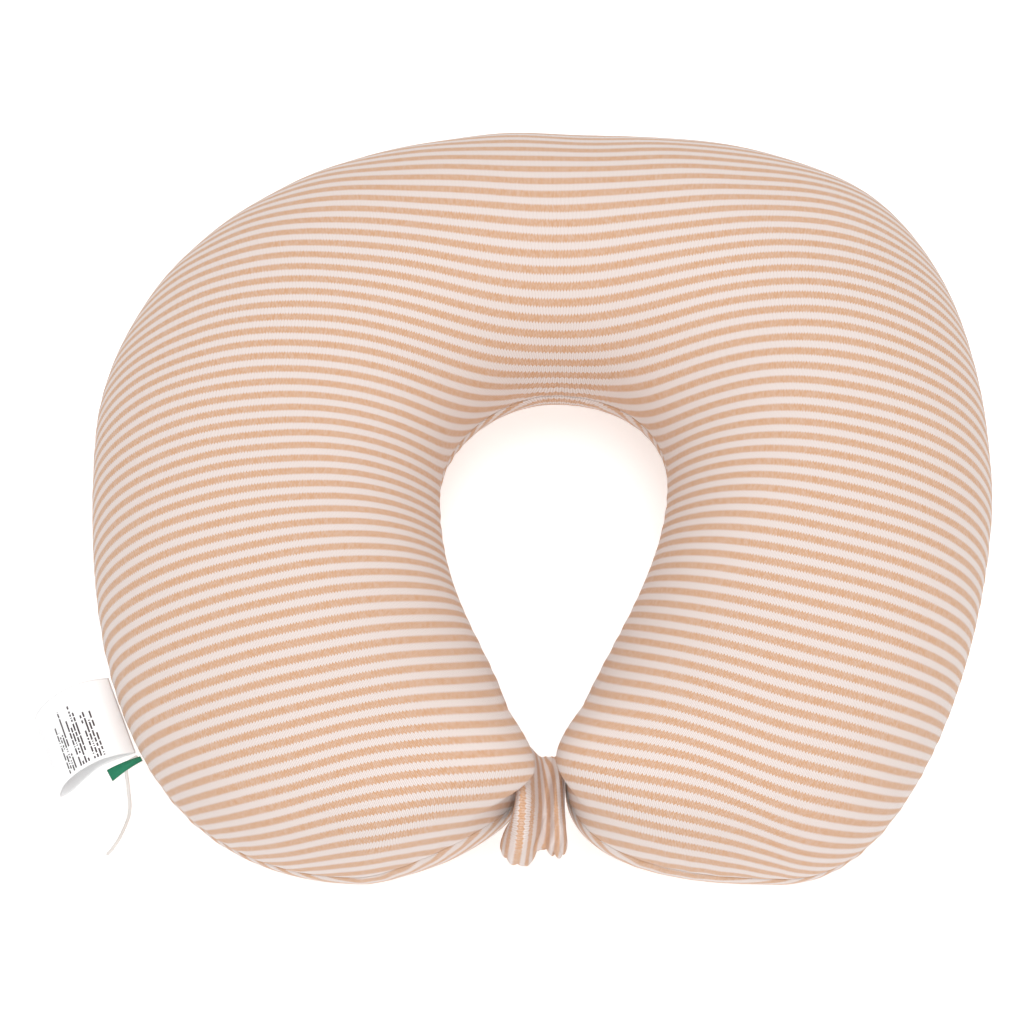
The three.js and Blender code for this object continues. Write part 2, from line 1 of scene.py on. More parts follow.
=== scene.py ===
"""A U-shaped nursing pillow in a striped jersey cover, with its zip, tie, label, tab and string.

Lengths are metres in the row frame: x runs across the pillow, y from the arm tips to the
back, z up from the surface that it lies on. The pillow's own frame, in which its seams are
drawn, has x = 0 at the middle of the back.
"""
import logging
import math
from dataclasses import dataclass, field
from enum import Enum

import bmesh
import bpy
import numpy as np
from mathutils import Matrix, Vector


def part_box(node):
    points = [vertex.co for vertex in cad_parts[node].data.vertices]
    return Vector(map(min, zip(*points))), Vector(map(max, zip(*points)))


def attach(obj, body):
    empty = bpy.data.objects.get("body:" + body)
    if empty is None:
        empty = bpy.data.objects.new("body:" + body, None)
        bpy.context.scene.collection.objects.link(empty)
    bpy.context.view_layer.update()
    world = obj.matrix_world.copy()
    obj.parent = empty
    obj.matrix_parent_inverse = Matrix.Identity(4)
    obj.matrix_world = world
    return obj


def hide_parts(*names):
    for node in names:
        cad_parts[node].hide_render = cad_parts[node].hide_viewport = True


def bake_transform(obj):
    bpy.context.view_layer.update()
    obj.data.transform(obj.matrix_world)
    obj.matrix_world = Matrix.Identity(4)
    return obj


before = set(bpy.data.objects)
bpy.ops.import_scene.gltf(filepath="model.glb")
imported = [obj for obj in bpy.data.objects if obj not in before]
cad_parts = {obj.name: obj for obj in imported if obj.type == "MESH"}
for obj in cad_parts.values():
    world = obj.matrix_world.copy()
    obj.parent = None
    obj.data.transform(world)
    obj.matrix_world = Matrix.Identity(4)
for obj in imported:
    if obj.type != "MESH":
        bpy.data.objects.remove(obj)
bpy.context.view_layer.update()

MM = 0.001
LAY = "lay"  # the UV map that carries a cloth's stripes and wales
WELD = 2e-6  # corners of a new mesh closer than this are one
NODE_WELD = 5e-6  # the same for a CAD node's loose triangles
FLAT_ANGLE = math.radians(2)  # faces that differ by less are joined
SHARP_ANGLE = math.radians(35)  # edges that turn by more are eased
TINY = 1e-12
BACK_Y = 246 * MM  # the back edge of the pillow, in its own frame
Array = np.ndarray

log = logging.getLogger("nursing_pillow")


class Level(Enum):
    """The two panels of the cover and of the liner."""

    TOP = 1
    BOTTOM = -1


class Side(Enum):
    """The two arms of the pillow."""

    LEFT = -1
    RIGHT = 1


def pillow_origin() -> Vector:
    """Where the pillow's own frame stands in the row frame.

    Returns:
        The middle of the back at the height of the floor, less the back edge's own y.
    """
    left_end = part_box("cover_top_left")[1]
    right_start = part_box("cover_top_right")[0]
    return Vector(((left_end.x + right_start.x) / 2, left_end.y - BACK_Y, 0))


ORIGIN = pillow_origin()


def row_frame(points: Array) -> Array:
    """Points of the pillow's own frame, moved into the row frame.

    Args:
        points: Any array whose last axis is x, y, z.

    Returns:
        The moved copy.
    """
    return points + np.array(ORIGIN)


def smooth_step(value: Array, low: float, high: float) -> Array:
    """A smooth rise from 0 at low to 1 at high.

    Args:
        value: The numbers to rise along.
        low: Where the rise starts.
        high: Where it ends.

    Returns:
        An array of shares.
    """
    share = np.clip((value - low) / (high - low), 0, 1)
    return share * share * (3 - 2 * share)


def through_stations(stations: Array, values: Array, share: Array) -> Array:
    """A cubic spline through a few values, level at its last one.

    Args:
        stations: Rising places of the values.
        values: The values themselves.
        share: Where the curve is wanted.

    Returns:
        The curve's values.
    """
    width = np.diff(stations)
    rise = np.diff(values) / width
    count = len(stations)
    system = np.zeros((count, count))
    wanted = np.zeros(count)
    system[0, :2], wanted[0] = (2, 1), 3 * rise[0]
    system[-1, -1] = 1
    for k in range(1, count - 1):
        before, after = 1 / width[k - 1], 1 / width[k]
        system[k, k - 1 : k + 2] = before, 2 * (before + after), after
        wanted[k] = 3 * (rise[k - 1] * before + rise[k] * after)
    slopes = np.linalg.solve(system, wanted)
    k = np.clip(np.searchsorted(stations, share, side="right") - 1, 0, count - 2)
    width = stations[k + 1] - stations[k]
    t = (share - stations[k]) / width
    return (
        (2 * t**3 - 3 * t**2 + 1) * values[k]
        + (t**3 - 2 * t**2 + t) * width * slopes[k]
        + (3 * t**2 - 2 * t**3) * values[k + 1]
        + (t**3 - t**2) * width * slopes[k + 1]
    )


def smooth_line(points: Array, count: int) -> Array:
    """A Catmull-Rom line through points, with evenly spaced stations.

    Args:
        points: The places that it passes.
        count: How many stations are wanted.

    Returns:
        The stations, evenly spaced along the line.
    """
    ends = np.vstack([2 * points[0] - points[1], points, 2 * points[-1] - points[-2]])
    t = np.linspace(0, 1, 12, endpoint=False)[:, None]
    parts = [
        0.5
        * (
            2 * b
            + (c - a) * t
            + (2 * a - 5 * b + 4 * c - d) * t**2
            + (3 * b - a - 3 * c + d) * t**3
        )
        for a, b, c, d in zip(ends, ends[1:], ends[2:], ends[3:])
    ]
    fine = np.vstack([*parts, points[-1:]])
    run = np.r_[0, np.cumsum(np.linalg.norm(np.diff(fine, axis=0), axis=1))]
    wanted = np.linspace(0, run[-1], count)
    return np.stack([np.interp(wanted, run, fine[:, k]) for k in range(fine.shape[1])], axis=1)


# ---- Meshes ---------------------------------------------------------------------------


def new_piece(name: str, shape: bmesh.types.BMesh) -> bpy.types.Object:
    """A shown object made from a bmesh, which is freed.

    Args:
        name: The piece's name.
        shape: Its mesh, in the row frame.

    Returns:
        The object, smooth shaded.
    """
    mesh = bpy.data.meshes.new(name)
    shape.to_mesh(mesh)
    shape.free()
    mesh.polygons.foreach_set("use_smooth", [True] * len(mesh.polygons))
    piece = bpy.data.objects.new(name, mesh)
    bpy.context.scene.collection.objects.link(piece)
    return piece


def cloth_grid(points: Array, lay: Array, facing: Vector | None = None) -> bmesh.types.BMesh:
    """A grid of faces moved onto a table of places, with a lay for the cloth's pattern.

    Args:
        points: Places in the row frame, by row and column.
        lay: Two pattern coordinates for each of them.
        facing: The side that the cloth's face is on; a closed form needs none.

    Returns:
        The bmesh, with doubles merged and its faces turned outwards.
    """
    rows, columns = points.shape[0] - 1, points.shape[1] - 1
    shape = bmesh.new()
    bmesh.ops.create_grid(shape, x_segments=rows, y_segments=columns, size=0.5)
    place = np.array([v.co for v in shape.verts])[:, :2] + 0.5
    row = np.rint(place[:, 0] * rows).astype(int)
    column = np.rint(place[:, 1] * columns).astype(int)
    pattern = lay[row, column].tolist()
    for vertex, at in zip(shape.verts, points[row, column].tolist()):
        vertex.co = at
    layer = shape.loops.layers.uv.new(LAY)
    shape.verts.index_update()
    for face in shape.faces:
        for corner in face.loops:
            corner[layer].uv = pattern[corner.vert.index]
    bmesh.ops.remove_doubles(shape, verts=shape.verts[:], dist=WELD)
    if facing is None:
        rims = [edge for edge in shape.edges if edge.is_boundary]
        if rims:
            bmesh.ops.holes_fill(shape, edges=rims, sides=0)
        bmesh.ops.recalc_face_normals(shape, faces=shape.faces[:])
    else:
        shape.normal_update()
        if sum(face.normal.dot(facing) * face.calc_area() for face in shape.faces) < 0:
            bmesh.ops.reverse_faces(shape, faces=shape.faces[:])
    return shape


def swept_tube(line: Array, radius: Array, turns: float = 0.0) -> tuple[Array, Array]:
    """Places of a tube round a line, which may have a twisted, lobed section.

    Args:
        line: Stations of the centreline.
        radius: The section's radius at each angle, one row for all the stations.
        turns: How many times the section turns along the line.

    Returns:
        The table of places and the table of lays, in metres along and round.
    """
    tangent = np.gradient(line, axis=0)
    tangent /= np.linalg.norm(tangent, axis=1, keepdims=True)
    aside = np.cross(tangent[0], [0.3, 0.5, 0.81])
    across = []
    for along in tangent:
        aside = aside - along * (aside @ along)
        aside = aside / np.linalg.norm(aside)
        across.append(aside)
    first = np.array(across)
    second = np.cross(tangent, first)
    angles = np.linspace(0, 2 * math.pi, radius.shape[-1])
    spin = np.linspace(0, turns * 2 * math.pi, len(line))[:, None] + angles
    places = (
        line[:, None]
        + first[:, None] * (radius * np.cos(spin))[..., None]
        + second[:, None] * (radius * np.sin(spin))[..., None]
    )
    run = np.r_[0, np.cumsum(np.linalg.norm(np.diff(line, axis=0), axis=1))]
    round_it = angles * radius.mean()
    lay = np.stack(np.broadcast_arrays(run[:, None], round_it[None]), axis=-1)
    return places, lay


def settle(piece: bpy.types.Object) -> bpy.types.Object:
    """Applies a piece's modifiers to its mesh.

    Args:
        piece: The piece to settle.

    Returns:
        The same piece, with no modifier left.
    """
    graph = bpy.context.evaluated_depsgraph_get()
    solid = bpy.data.meshes.new_from_object(
        piece.evaluated_get(graph), preserve_all_data_layers=True, depsgraph=graph
    )
    piece.modifiers.clear()
    piece.data = solid
    return piece


def give_thickness(piece: bpy.types.Object, thickness: float, outwards: float = -1) -> None:
    """Gives a sheet of cloth its thickness, for good.

    Args:
        piece: The sheet.
        thickness: Of the cloth.
        outwards: -1 to thicken inwards from the face, 0 to both sides.
    """
    wall = piece.modifiers.new("thickness", "SOLIDIFY")
    wall.thickness = thickness
    wall.offset = outwards
    wall.use_even_offset = False
    settle(piece)


def eased_copy(node: str, name: str, bevel: float) -> bpy.types.Object:
    """A CAD node's own shape with its edges eased.

    Args:
        node: The CAD node.
        name: The new piece's name.
        bevel: The width of the eased edges.

    Returns:
        The piece, which stands for the node.
    """
    shape = bmesh.new()
    shape.from_mesh(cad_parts[node].data)
    bmesh.ops.remove_doubles(shape, verts=shape.verts[:], dist=NODE_WELD)
    bmesh.ops.dissolve_limit(
        shape, angle_limit=FLAT_ANGLE, verts=shape.verts[:], edges=shape.edges[:]
    )
    sharp = [
        e for e in shape.edges if len(e.link_faces) == 2 and e.calc_face_angle(0) > SHARP_ANGLE
    ]
    bmesh.ops.bevel(
        shape, geom=sharp, offset=bevel, offset_type="OFFSET", affect="EDGES", segments=2,
        profile=0.5, material=-1, clamp_overlap=True,
    )
    bmesh.ops.triangulate(shape, faces=[f for f in shape.faces if len(f.verts) > 4])
    bmesh.ops.recalc_face_normals(shape, faces=shape.faces[:])
    piece = new_piece(name, shape)
    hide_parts(node)
    return piece


# ---- Finishes ---------------------------------------------------------------------------


class Wiring:
    """Adds nodes to one node tree and links them."""

    def __init__(self, tree: bpy.types.NodeTree) -> None:
        """Keeps the tree that nodes go into."""
        self.tree = tree

    def plug(self, socket: bpy.types.NodeSocket, value: object) -> None:
        """Links a value to a socket, or sets it there.

        Args:
            socket: The input.
            value: A number or colour, or the socket that feeds it.
        """
        if isinstance(value, bpy.types.NodeSocket):
            self.tree.links.new(value, socket)
        else:
            socket.default_value = value

    def node(self, kind: str, settings: dict | None = None, **inputs: object) -> bpy.types.Node:
        """Adds a node.

        Args:
            kind: The node's type.
            settings: Its properties.
            **inputs: Its inputs by name, with _ for a space.

        Returns:
            The new node.
        """
        made = self.tree.nodes.new(kind)
        for name, value in (settings or {}).items():
            setattr(made, name, value)
        for name, value in inputs.items():
            self.plug(made.inputs[name.replace("_", " ")], value)
        return made

    def math(self, operation: str, *values: object) -> bpy.types.NodeSocket:
        """The result of a Math node.

        Args:
            operation: Its operation.
            *values: Numbers or sockets.

        Returns:
            The output socket.
        """
        made = self.node("ShaderNodeMath", {"operation": operation})
        for socket, value in zip(made.inputs, values):
            self.plug(socket, value)
        return made.outputs[0]

    def tone(
        self, share: object, low: object, high: object, how: str = "MIX"
    ) -> bpy.types.NodeSocket:
        """Two colours mixed.

        Args:
            share: Of the second colour.
            low: The first colour.
            high: The second colour.
            how: The way of mixing.

        Returns:
            The colour's socket.
        """
        made = self.node("ShaderNodeMix", {"data_type": "RGBA", "blend_type": how})
        for index, value in ((0, share), (6, low), (7, high)):
            self.plug(made.inputs[index], value)
        return made.outputs[2]

    def noise(
        self, place: bpy.types.NodeSocket, scale: float, detail: float
    ) -> bpy.types.NodeSocket:
        """A noise value at a place.

        Args:
            place: The coordinates.
            scale: Waves per metre.
            detail: How many octaves.

        Returns:
            The value's socket.
        """
        made = self.node("ShaderNodeTexNoise", Vector=place, Scale=scale, Detail=detail)
        return made.outputs[0]


@dataclass
class NodeGroup:
    """A shader node group with named inputs and outputs, built once."""

    name: str
    inputs: dict[str, tuple[str, object]]
    outputs: dict[str, str]
    tree: bpy.types.NodeTree = field(init=False)

    def __post_init__(self) -> None:
        """Makes the sockets and wires the group."""
        self.tree = bpy.data.node_groups.new(self.name, "ShaderNodeTree")
        for name, (kind, value) in self.inputs.items():
            socket = self.tree.interface.new_socket(name, in_out="INPUT", socket_type=kind)
            if value is not None:
                socket.default_value = value
        for name, kind in self.outputs.items():
            self.tree.interface.new_socket(name, in_out="OUTPUT", socket_type=kind)
        wiring = Wiring(self.tree)
        given = wiring.node("NodeGroupInput").outputs
        result = wiring.node("NodeGroupOutput").inputs
        for name, socket in self.wire(wiring, given).items():
            wiring.plug(result[name], socket)

    def wire(self, wiring: Wiring, given: bpy.types.bpy_prop_collection) -> dict:
        """Each kind of group says here what it works out."""
        raise NotImplementedError

    def place(self, wiring: Wiring, **inputs: object) -> bpy.types.bpy_prop_collection:
        """Puts the group into a material.

        Args:
            wiring: The material's wiring.
            **inputs: Its inputs by name, with _ for a space.

        Returns:
            The group's outputs.
        """
        made = wiring.node("ShaderNodeGroup", {"node_tree": self.tree})
        for name, value in inputs.items():
            wiring.plug(made.inputs[name.replace("_", " ")], value)
        return made.outputs


class KnitGroup(NodeGroup):
    """Jersey: columns of V-shaped stitches, dyed in stripes of whole courses, with painted shade in
    the hollows between stitches.
    """

    BETWEEN_COURSES = 0.2  # how plump a yarn stays where two courses meet
    LEG_SLOPE = 0.6  # below 1, the legs of a stitch are rounder

    def wire(self, wiring: Wiring, given: bpy.types.bpy_prop_collection) -> dict:
        """Works out the stitches' colour, with painted shade between them, and their height from
        the lay.

        Args:
            wiring: The group's wiring.
            given: The group's inputs.

        Returns:
            The outputs by name.
        """
        at = wiring.node("ShaderNodeSeparateXYZ", Vector=given["Lay"]).outputs
        wale = wiring.math("DIVIDE", at[1], given["Wale"])
        side = wiring.math("MULTIPLY", wiring.math("PINGPONG", wale, 0.5), 2)
        lean = wiring.math("MULTIPLY", side, given["Lean"])
        course = wiring.math("ADD", wiring.math("MULTIPLY", at[0], given["Courses"]), lean)
        row = wiring.math("SUBTRACT", wiring.math("FLOOR", course), given["Shift"])
        stripe = wiring.math("DIVIDE", row, given["Courses"])
        dyed = wiring.math("LESS_THAN", wiring.math("PINGPONG", stripe, 0.5), given["Share"])
        yarn = wiring.math("MULTIPLY", wiring.math("PINGPONG", course, 0.5), 2)
        leg = wiring.math("MULTIPLY", wiring.math("PINGPONG", side, 0.5), 2)
        least = self.BETWEEN_COURSES
        plump = wiring.math("POWER", wiring.math("MULTIPLY_ADD", yarn, 1 - least, least), 0.5)
        height = wiring.math("MULTIPLY", wiring.math("POWER", leg, self.LEG_SLOPE), plump)
        stitch = wiring.node(
            "ShaderNodeCombineXYZ", X=wiring.math("FLOOR", course),
            Y=wiring.math("FLOOR", wiring.math("MULTIPLY", wale, 2)),
        ).outputs[0]
        dice = wiring.node("ShaderNodeTexWhiteNoise", Vector=stitch).outputs[0]
        paler = wiring.math("MULTIPLY", dice, given["Heather"])
        dye = wiring.tone(paler, given["Dye"], given["Ground"])
        colour = wiring.tone(dyed, given["Ground"], dye)
        # Painted shade: the colour is darkened towards the shade colour where the stitches are low,
        # in the hollows between them.
        hollow_shade = wiring.math("MULTIPLY", wiring.math("SUBTRACT", 1, height), given["Depth"])
        return {
            "Color": wiring.tone(hollow_shade, colour, given["Shade"], "MULTIPLY"),
            "Height": height,
        }


class WeaveGroup(NodeGroup):
    """Plain weave: threads that pass over and under each other in two directions."""

    def wire(self, wiring: Wiring, given: bpy.types.bpy_prop_collection) -> dict:
        """Works out the threads' height and where a weft thread is on top.

        Args:
            wiring: The group's wiring.
            given: The group's inputs.

        Returns:
            The outputs by name.
        """
        at = wiring.node("ShaderNodeSeparateXYZ", Vector=given["Lay"]).outputs
        warp = wiring.math("DIVIDE", at[0], given["Warp"])
        weft = wiring.math("DIVIDE", at[1], given["Weft"])
        turn = wiring.math("ADD", wiring.math("FLOOR", warp), wiring.math("FLOOR", weft))
        over = wiring.math("PINGPONG", turn, 1)
        ridge_warp = wiring.math("MULTIPLY", wiring.math("PINGPONG", warp, 0.5), 2)
        ridge_weft = wiring.math("MULTIPLY", wiring.math("PINGPONG", weft, 0.5), 2)
        low = wiring.math("MULTIPLY", ridge_warp, wiring.math("SUBTRACT", 1, over))
        high = wiring.math("MULTIPLY", ridge_weft, over)
        return {"Height": wiring.math("ADD", low, high), "Over": over}


class MottleGroup(NodeGroup):
    """Slight, soft unevenness of colour, and the fuzz of loose fibres."""

    BLOTCHES, FIBRES = 14.0, 1900.0  # waves for each metre
    BLOTCH_SHARE = 0.6

    def wire(self, wiring: Wiring, given: bpy.types.bpy_prop_collection) -> dict:
        """Works out the mottled colour and the fuzz.

        Args:
            wiring: The group's wiring.
            given: The group's inputs.

        Returns:
            The outputs by name.
        """
        place = wiring.node("ShaderNodeTexCoord").outputs["Object"]
        broad = wiring.noise(place, self.BLOTCHES, 3.0)
        fine = wiring.noise(place, self.FIBRES, 2.0)
        blotches = wiring.math("MULTIPLY", broad, self.BLOTCH_SHARE)
        fibres = wiring.math("MULTIPLY", fine, 1 - self.BLOTCH_SHARE)
        uneven = wiring.math("ADD", blotches, fibres)
        share = wiring.math("MULTIPLY", uneven, given["Amount"])
        return {
            "Color": wiring.tone(share, given["Color"], given["Toward"]),
            "Fuzz": fine,
        }


class PrintGroup(NodeGroup):
    """Rows of short unreadable dashes, as the small print of a care label."""

    WORD = 6  # letters
    INKED = 0.27  # half of the share of a line's pitch that is inked
    PARAGRAPH = 5  # lines, the last of them empty
    LETTER_GAPS, WORD_GAPS = 0.22, 0.08
    RAGGED_COLUMN = 7.0  # sets the draw for a line's length apart from the letters'

    def wire(self, wiring: Wiring, given: bpy.types.bpy_prop_collection) -> dict:
        """Works out where the ink is.

        Args:
            wiring: The group's wiring.
            given: The group's inputs.

        Returns:
            The outputs by name.
        """
        at = wiring.node("ShaderNodeSeparateXYZ", Vector=given["Lay"]).outputs
        line = wiring.math("DIVIDE", at[1], given["Line"])
        row = wiring.math("ROUND", line)
        letter = wiring.math("FLOOR", wiring.math("DIVIDE", at[0], given["Letter"]))
        word = wiring.math("FLOOR", wiring.math("DIVIDE", letter, self.WORD))

        def drawn(first: object, second: object) -> bpy.types.NodeSocket:
            """A fixed random number of two whole numbers."""
            pair = wiring.node("ShaderNodeCombineXYZ", X=first, Y=second).outputs[0]
            return wiring.node("ShaderNodeTexWhiteNoise", Vector=pair).outputs[0]

        def chance(first: object, second: object, above: float) -> bpy.types.NodeSocket:
            """1 where a fixed random number of two whole numbers is above a limit."""
            return wiring.math("GREATER_THAN", drawn(first, second), above)

        band = wiring.math("LESS_THAN", wiring.math("PINGPONG", line, 0.5), self.INKED)
        in_block = wiring.math("MODULO", row, self.PARAGRAPH)
        block = wiring.math("LESS_THAN", in_block, self.PARAGRAPH - 1.5)
        inside = wiring.math("GREATER_THAN", at[0], given["Margin"])
        length = drawn(row, self.RAGGED_COLUMN)
        reach = wiring.math("MULTIPLY_ADD", length, given["Ragged"], given["Shortest"])
        ended = wiring.math("LESS_THAN", at[0], reach)
        above = wiring.math("GREATER_THAN", at[1], given["Start"])
        below = wiring.math("LESS_THAN", at[1], given["Stop"])
        ink = chance(letter, row, self.LETTER_GAPS)
        for limit in (chance(word, row, self.WORD_GAPS), band, block, inside, ended, above, below):
            ink = wiring.math("MULTIPLY", ink, limit)
        return {"Ink": ink}


VALUE, COLOR, VECTOR = "NodeSocketFloat", "NodeSocketColor", "NodeSocketVector"
WHITE = (1.0, 1.0, 1.0, 1.0)


@dataclass
class Groups:
    """The node groups that the finishes share."""

    knit: NodeGroup = field(
        default_factory=lambda: KnitGroup(
            "jersey_stitches",
            {
                "Lay": (VECTOR, None), "Dye": (COLOR, WHITE), "Ground": (COLOR, WHITE),
                # The shade colour and its share below paint shade into the hollows between
                # stitches.
                "Shade": (COLOR, (0.66, 0.55, 0.48, 1)), "Courses": (VALUE, 8.0),
                "Wale": (VALUE, 0.0017), "Lean": (VALUE, 1.3), "Shift": (VALUE, 0.15),
                "Share": (VALUE, 0.25), "Depth": (VALUE, 0.9), "Heather": (VALUE, 0.3),
            },
            {"Color": COLOR, "Height": VALUE},
        )
    )
    weave: NodeGroup = field(
        default_factory=lambda: WeaveGroup(
            "plain_weave",
            {"Lay": (VECTOR, None), "Warp": (VALUE, 0.0004), "Weft": (VALUE, 0.0004)},
            {"Height": VALUE, "Over": VALUE},
        )
    )
    mottle: NodeGroup = field(
        default_factory=lambda: MottleGroup(
            "soft_mottle",
            {"Color": (COLOR, WHITE), "Toward": (COLOR, WHITE), "Amount": (VALUE, 0.2)},
            {"Color": COLOR, "Fuzz": VALUE},
        )
    )
    printing: NodeGroup = field(
        default_factory=lambda: PrintGroup(
            "small_print",
            {
                "Lay": (VECTOR, None), "Line": (VALUE, 0.0019), "Letter": (VALUE, 0.0007),
                "Margin": (VALUE, 0.002), "Ragged": (VALUE, 0.022), "Shortest": (VALUE, 0.025),
                "Start": (VALUE, 0.01615), "Stop": (VALUE, 0.04655),
            },
            {"Ink": VALUE},
        )
    )


@dataclass(frozen=True)
class Finish:
    """A finish: the constant values of its shader, and a way of colouring it."""

    name: str
    colour: tuple[float, float, float]
    toward: tuple[float, float, float] = (0.5, 0.5, 0.5)
    mottle: float = 0.15
    roughness: float = 0.85
    sheen: float = 0.0
    metallic: float = 0.0
    bump: float = 0.0002
    strength: float = 0.5
    glow: float = 0.0

    SHEEN_ROUGHNESS = 0.5
    FUZZ = 0.25  # how far loose fibres stand over the pattern
    GRAIN = 600.0  # waves for each metre

    def material(self, groups: Groups) -> bpy.types.Material:
        """Builds the material.

        Args:
            groups: The shared node groups.

        Returns:
            The new material.
        """
        made = bpy.data.materials.new(self.name)
        made.use_nodes = True
        made.node_tree.nodes.clear()
        wiring = Wiring(made.node_tree)
        shader = wiring.node(
            "ShaderNodeBsdfPrincipled", Roughness=self.roughness, Metallic=self.metallic,
            Sheen_Weight=self.sheen, Sheen_Roughness=self.SHEEN_ROUGHNESS,
            Emission_Color=WHITE, Emission_Strength=self.glow,
        )
        lay = wiring.node("ShaderNodeUVMap", {"uv_map": LAY}).outputs[0]
        colour, height = self.pattern(wiring, groups, lay)
        mottled = groups.mottle.place(
            wiring, Color=colour, Toward=(*self.toward, 1), Amount=self.mottle
        )
        wiring.plug(shader.inputs["Base Color"], mottled["Color"])
        fuzzy = wiring.math("MULTIPLY_ADD", mottled["Fuzz"], self.FUZZ, height)
        relief = wiring.node(
            "ShaderNodeBump", Strength=self.strength, Distance=self.bump, Height=fuzzy
        )
        wiring.plug(shader.inputs["Normal"], relief.outputs[0])
        output = wiring.node("ShaderNodeOutputMaterial")
        made.node_tree.links.new(shader.outputs[0], output.inputs[0])
        return made

    def pattern(self, wiring: Wiring, groups: Groups, lay: bpy.types.NodeSocket) -> tuple:
        """The pattern of a plain finish: its colour, and a fine grain.

        Args:
            wiring: The material's wiring.
            groups: The shared node groups.
            lay: The cloth's own coordinates.

        Returns:
            The colour and the height, as sockets or values.
        """
        place = wiring.node("ShaderNodeTexCoord").outputs["Object"]
        return (*self.colour, 1), wiring.noise(place, self.GRAIN, 3.0)


@dataclass(frozen=True)
class KnitFinish(Finish):
    """Striped jersey."""

    ground: tuple[float, float, float] = (0.83, 0.77, 0.755)
    wale: float = 1.7 * MM

    def pattern(self, wiring: Wiring, groups: Groups, lay: bpy.types.NodeSocket) -> tuple:
        """Stitches in stripes.

        Args:
            wiring: The material's wiring.
            groups: The shared node groups.
            lay: Stripes and metres across.

        Returns:
            The colour and the height.
        """
        made = groups.knit.place(
            wiring, Lay=lay, Dye=(*self.colour, 1), Ground=(*self.ground, 1), Wale=self.wale
        )
        return made["Color"], made["Height"]


@dataclass(frozen=True)
class WovenFinish(Finish):
    """Plain woven cloth, whose weft threads may have a tone of their own."""

    weft: tuple[float, float, float] = (0.7, 0.7, 0.7)
    pitch: tuple[float, float] = (0.4 * MM, 0.4 * MM)
    printed: bool = False

    INK = (0.03, 0.012, 0.016, 1)

    def pattern(self, wiring: Wiring, groups: Groups, lay: bpy.types.NodeSocket) -> tuple:
        """Threads over and under, with small print on a label.

        Args:
            wiring: The material's wiring.
            groups: The shared node groups.
            lay: Metres across and along.

        Returns:
            The colour and the height.
        """
        made = groups.weave.place(wiring, Lay=lay, Warp=self.pitch[0], Weft=self.pitch[1])
        colour = wiring.tone(made["Over"], (*self.colour, 1), (*self.weft, 1))
        if self.printed:
            ink = groups.printing.place(wiring, Lay=lay)["Ink"]
            colour = wiring.tone(ink, colour, self.INK)
        return colour, made["Height"]


@dataclass
class Wardrobe:
    """Every finish of the pillow, as a material."""

    groups: Groups = field(default_factory=Groups)
    made: dict[str, bpy.types.Material] = field(default_factory=dict)

    FINISHES = (
        KnitFinish(
            "striped_knit", (0.68, 0.405, 0.235), toward=(0.66, 0.5, 0.42), mottle=0.06,
            roughness=0.92, sheen=0.12, bump=0.35 * MM, strength=0.55,
        ),
        WovenFinish(
            "liner_cotton", (0.86, 0.83, 0.78), weft=(0.8, 0.77, 0.72), pitch=(0.5 * MM, 0.5 * MM),
        ),
        Finish("polyester_fibre", (0.9, 0.89, 0.87), roughness=1.0, bump=MM, strength=0.8),
        WovenFinish(
            "tape_cloth", (0.72, 0.56, 0.42), weft=(0.66, 0.5, 0.37), pitch=(0.7 * MM, 0.45 * MM),
        ),
        Finish("coil_nylon", (0.72, 0.54, 0.38), roughness=0.45, bump=0.05 * MM),
        Finish(
            "zip_metal", (0.62, 0.6, 0.57), toward=(0.35, 0.34, 0.33), mottle=0.3,
            roughness=0.32, metallic=1.0, bump=0.02 * MM, strength=0.3,
        ),
        WovenFinish(
            "label_satin", (0.93, 0.93, 0.93), weft=(0.88, 0.88, 0.89), toward=(0.8, 0.8, 0.8),
            mottle=0.04, roughness=0.5, pitch=(0.25 * MM, 0.5 * MM), bump=0.04 * MM,
            printed=True,
        ),
        WovenFinish(
            "tab_ribbon", (0.002, 0.2, 0.1), weft=(0.002, 0.17, 0.08), toward=(0.01, 0.12, 0.06),
            roughness=0.6, pitch=(0.3 * MM, 0.8 * MM),
        ),
        WovenFinish(
            "ribbon_back", (0.62, 0.65, 0.62), weft=(0.55, 0.58, 0.56), roughness=0.6,
            pitch=(0.3 * MM, 0.8 * MM),
        ),
        WovenFinish(
            "knit_elastic", (0.85, 0.82, 0.78), weft=(0.75, 0.72, 0.68), pitch=(MM, 0.5 * MM),
            bump=0.4 * MM,
        ),
        Finish(
            "cotton_cord", (0.78, 0.75, 0.72), toward=(0.55, 0.5, 0.46), mottle=0.2,
            roughness=0.9, sheen=0.2,
        ),
        Finish("stitch_thread", (0.74, 0.5, 0.33), roughness=0.6, sheen=0.2, bump=0.1 * MM),
        Finish(
            "pale_floor", (0.93, 0.93, 0.93), toward=(0.88, 0.88, 0.88), mottle=0.1,
            roughness=0.7, bump=0.02 * MM, strength=0.1, glow=0.35,
        ),
    )

    def __post_init__(self) -> None:
        """Makes every material."""
        for finish in self.FINISHES:
            self.made[finish.name] = finish.material(self.groups)

    def dress(self, piece: bpy.types.Object, finish: str, slot: str | None = None) -> None:
        """Gives a piece its finish.

        Args:
            piece: The piece.
            finish: The finish's name.
            slot: Not used.
        """
        piece.data.materials.clear()
        piece.data.materials.append(self.made[finish])
        slot or finish


# ---- The padded form ----------------------------------------------------------------------


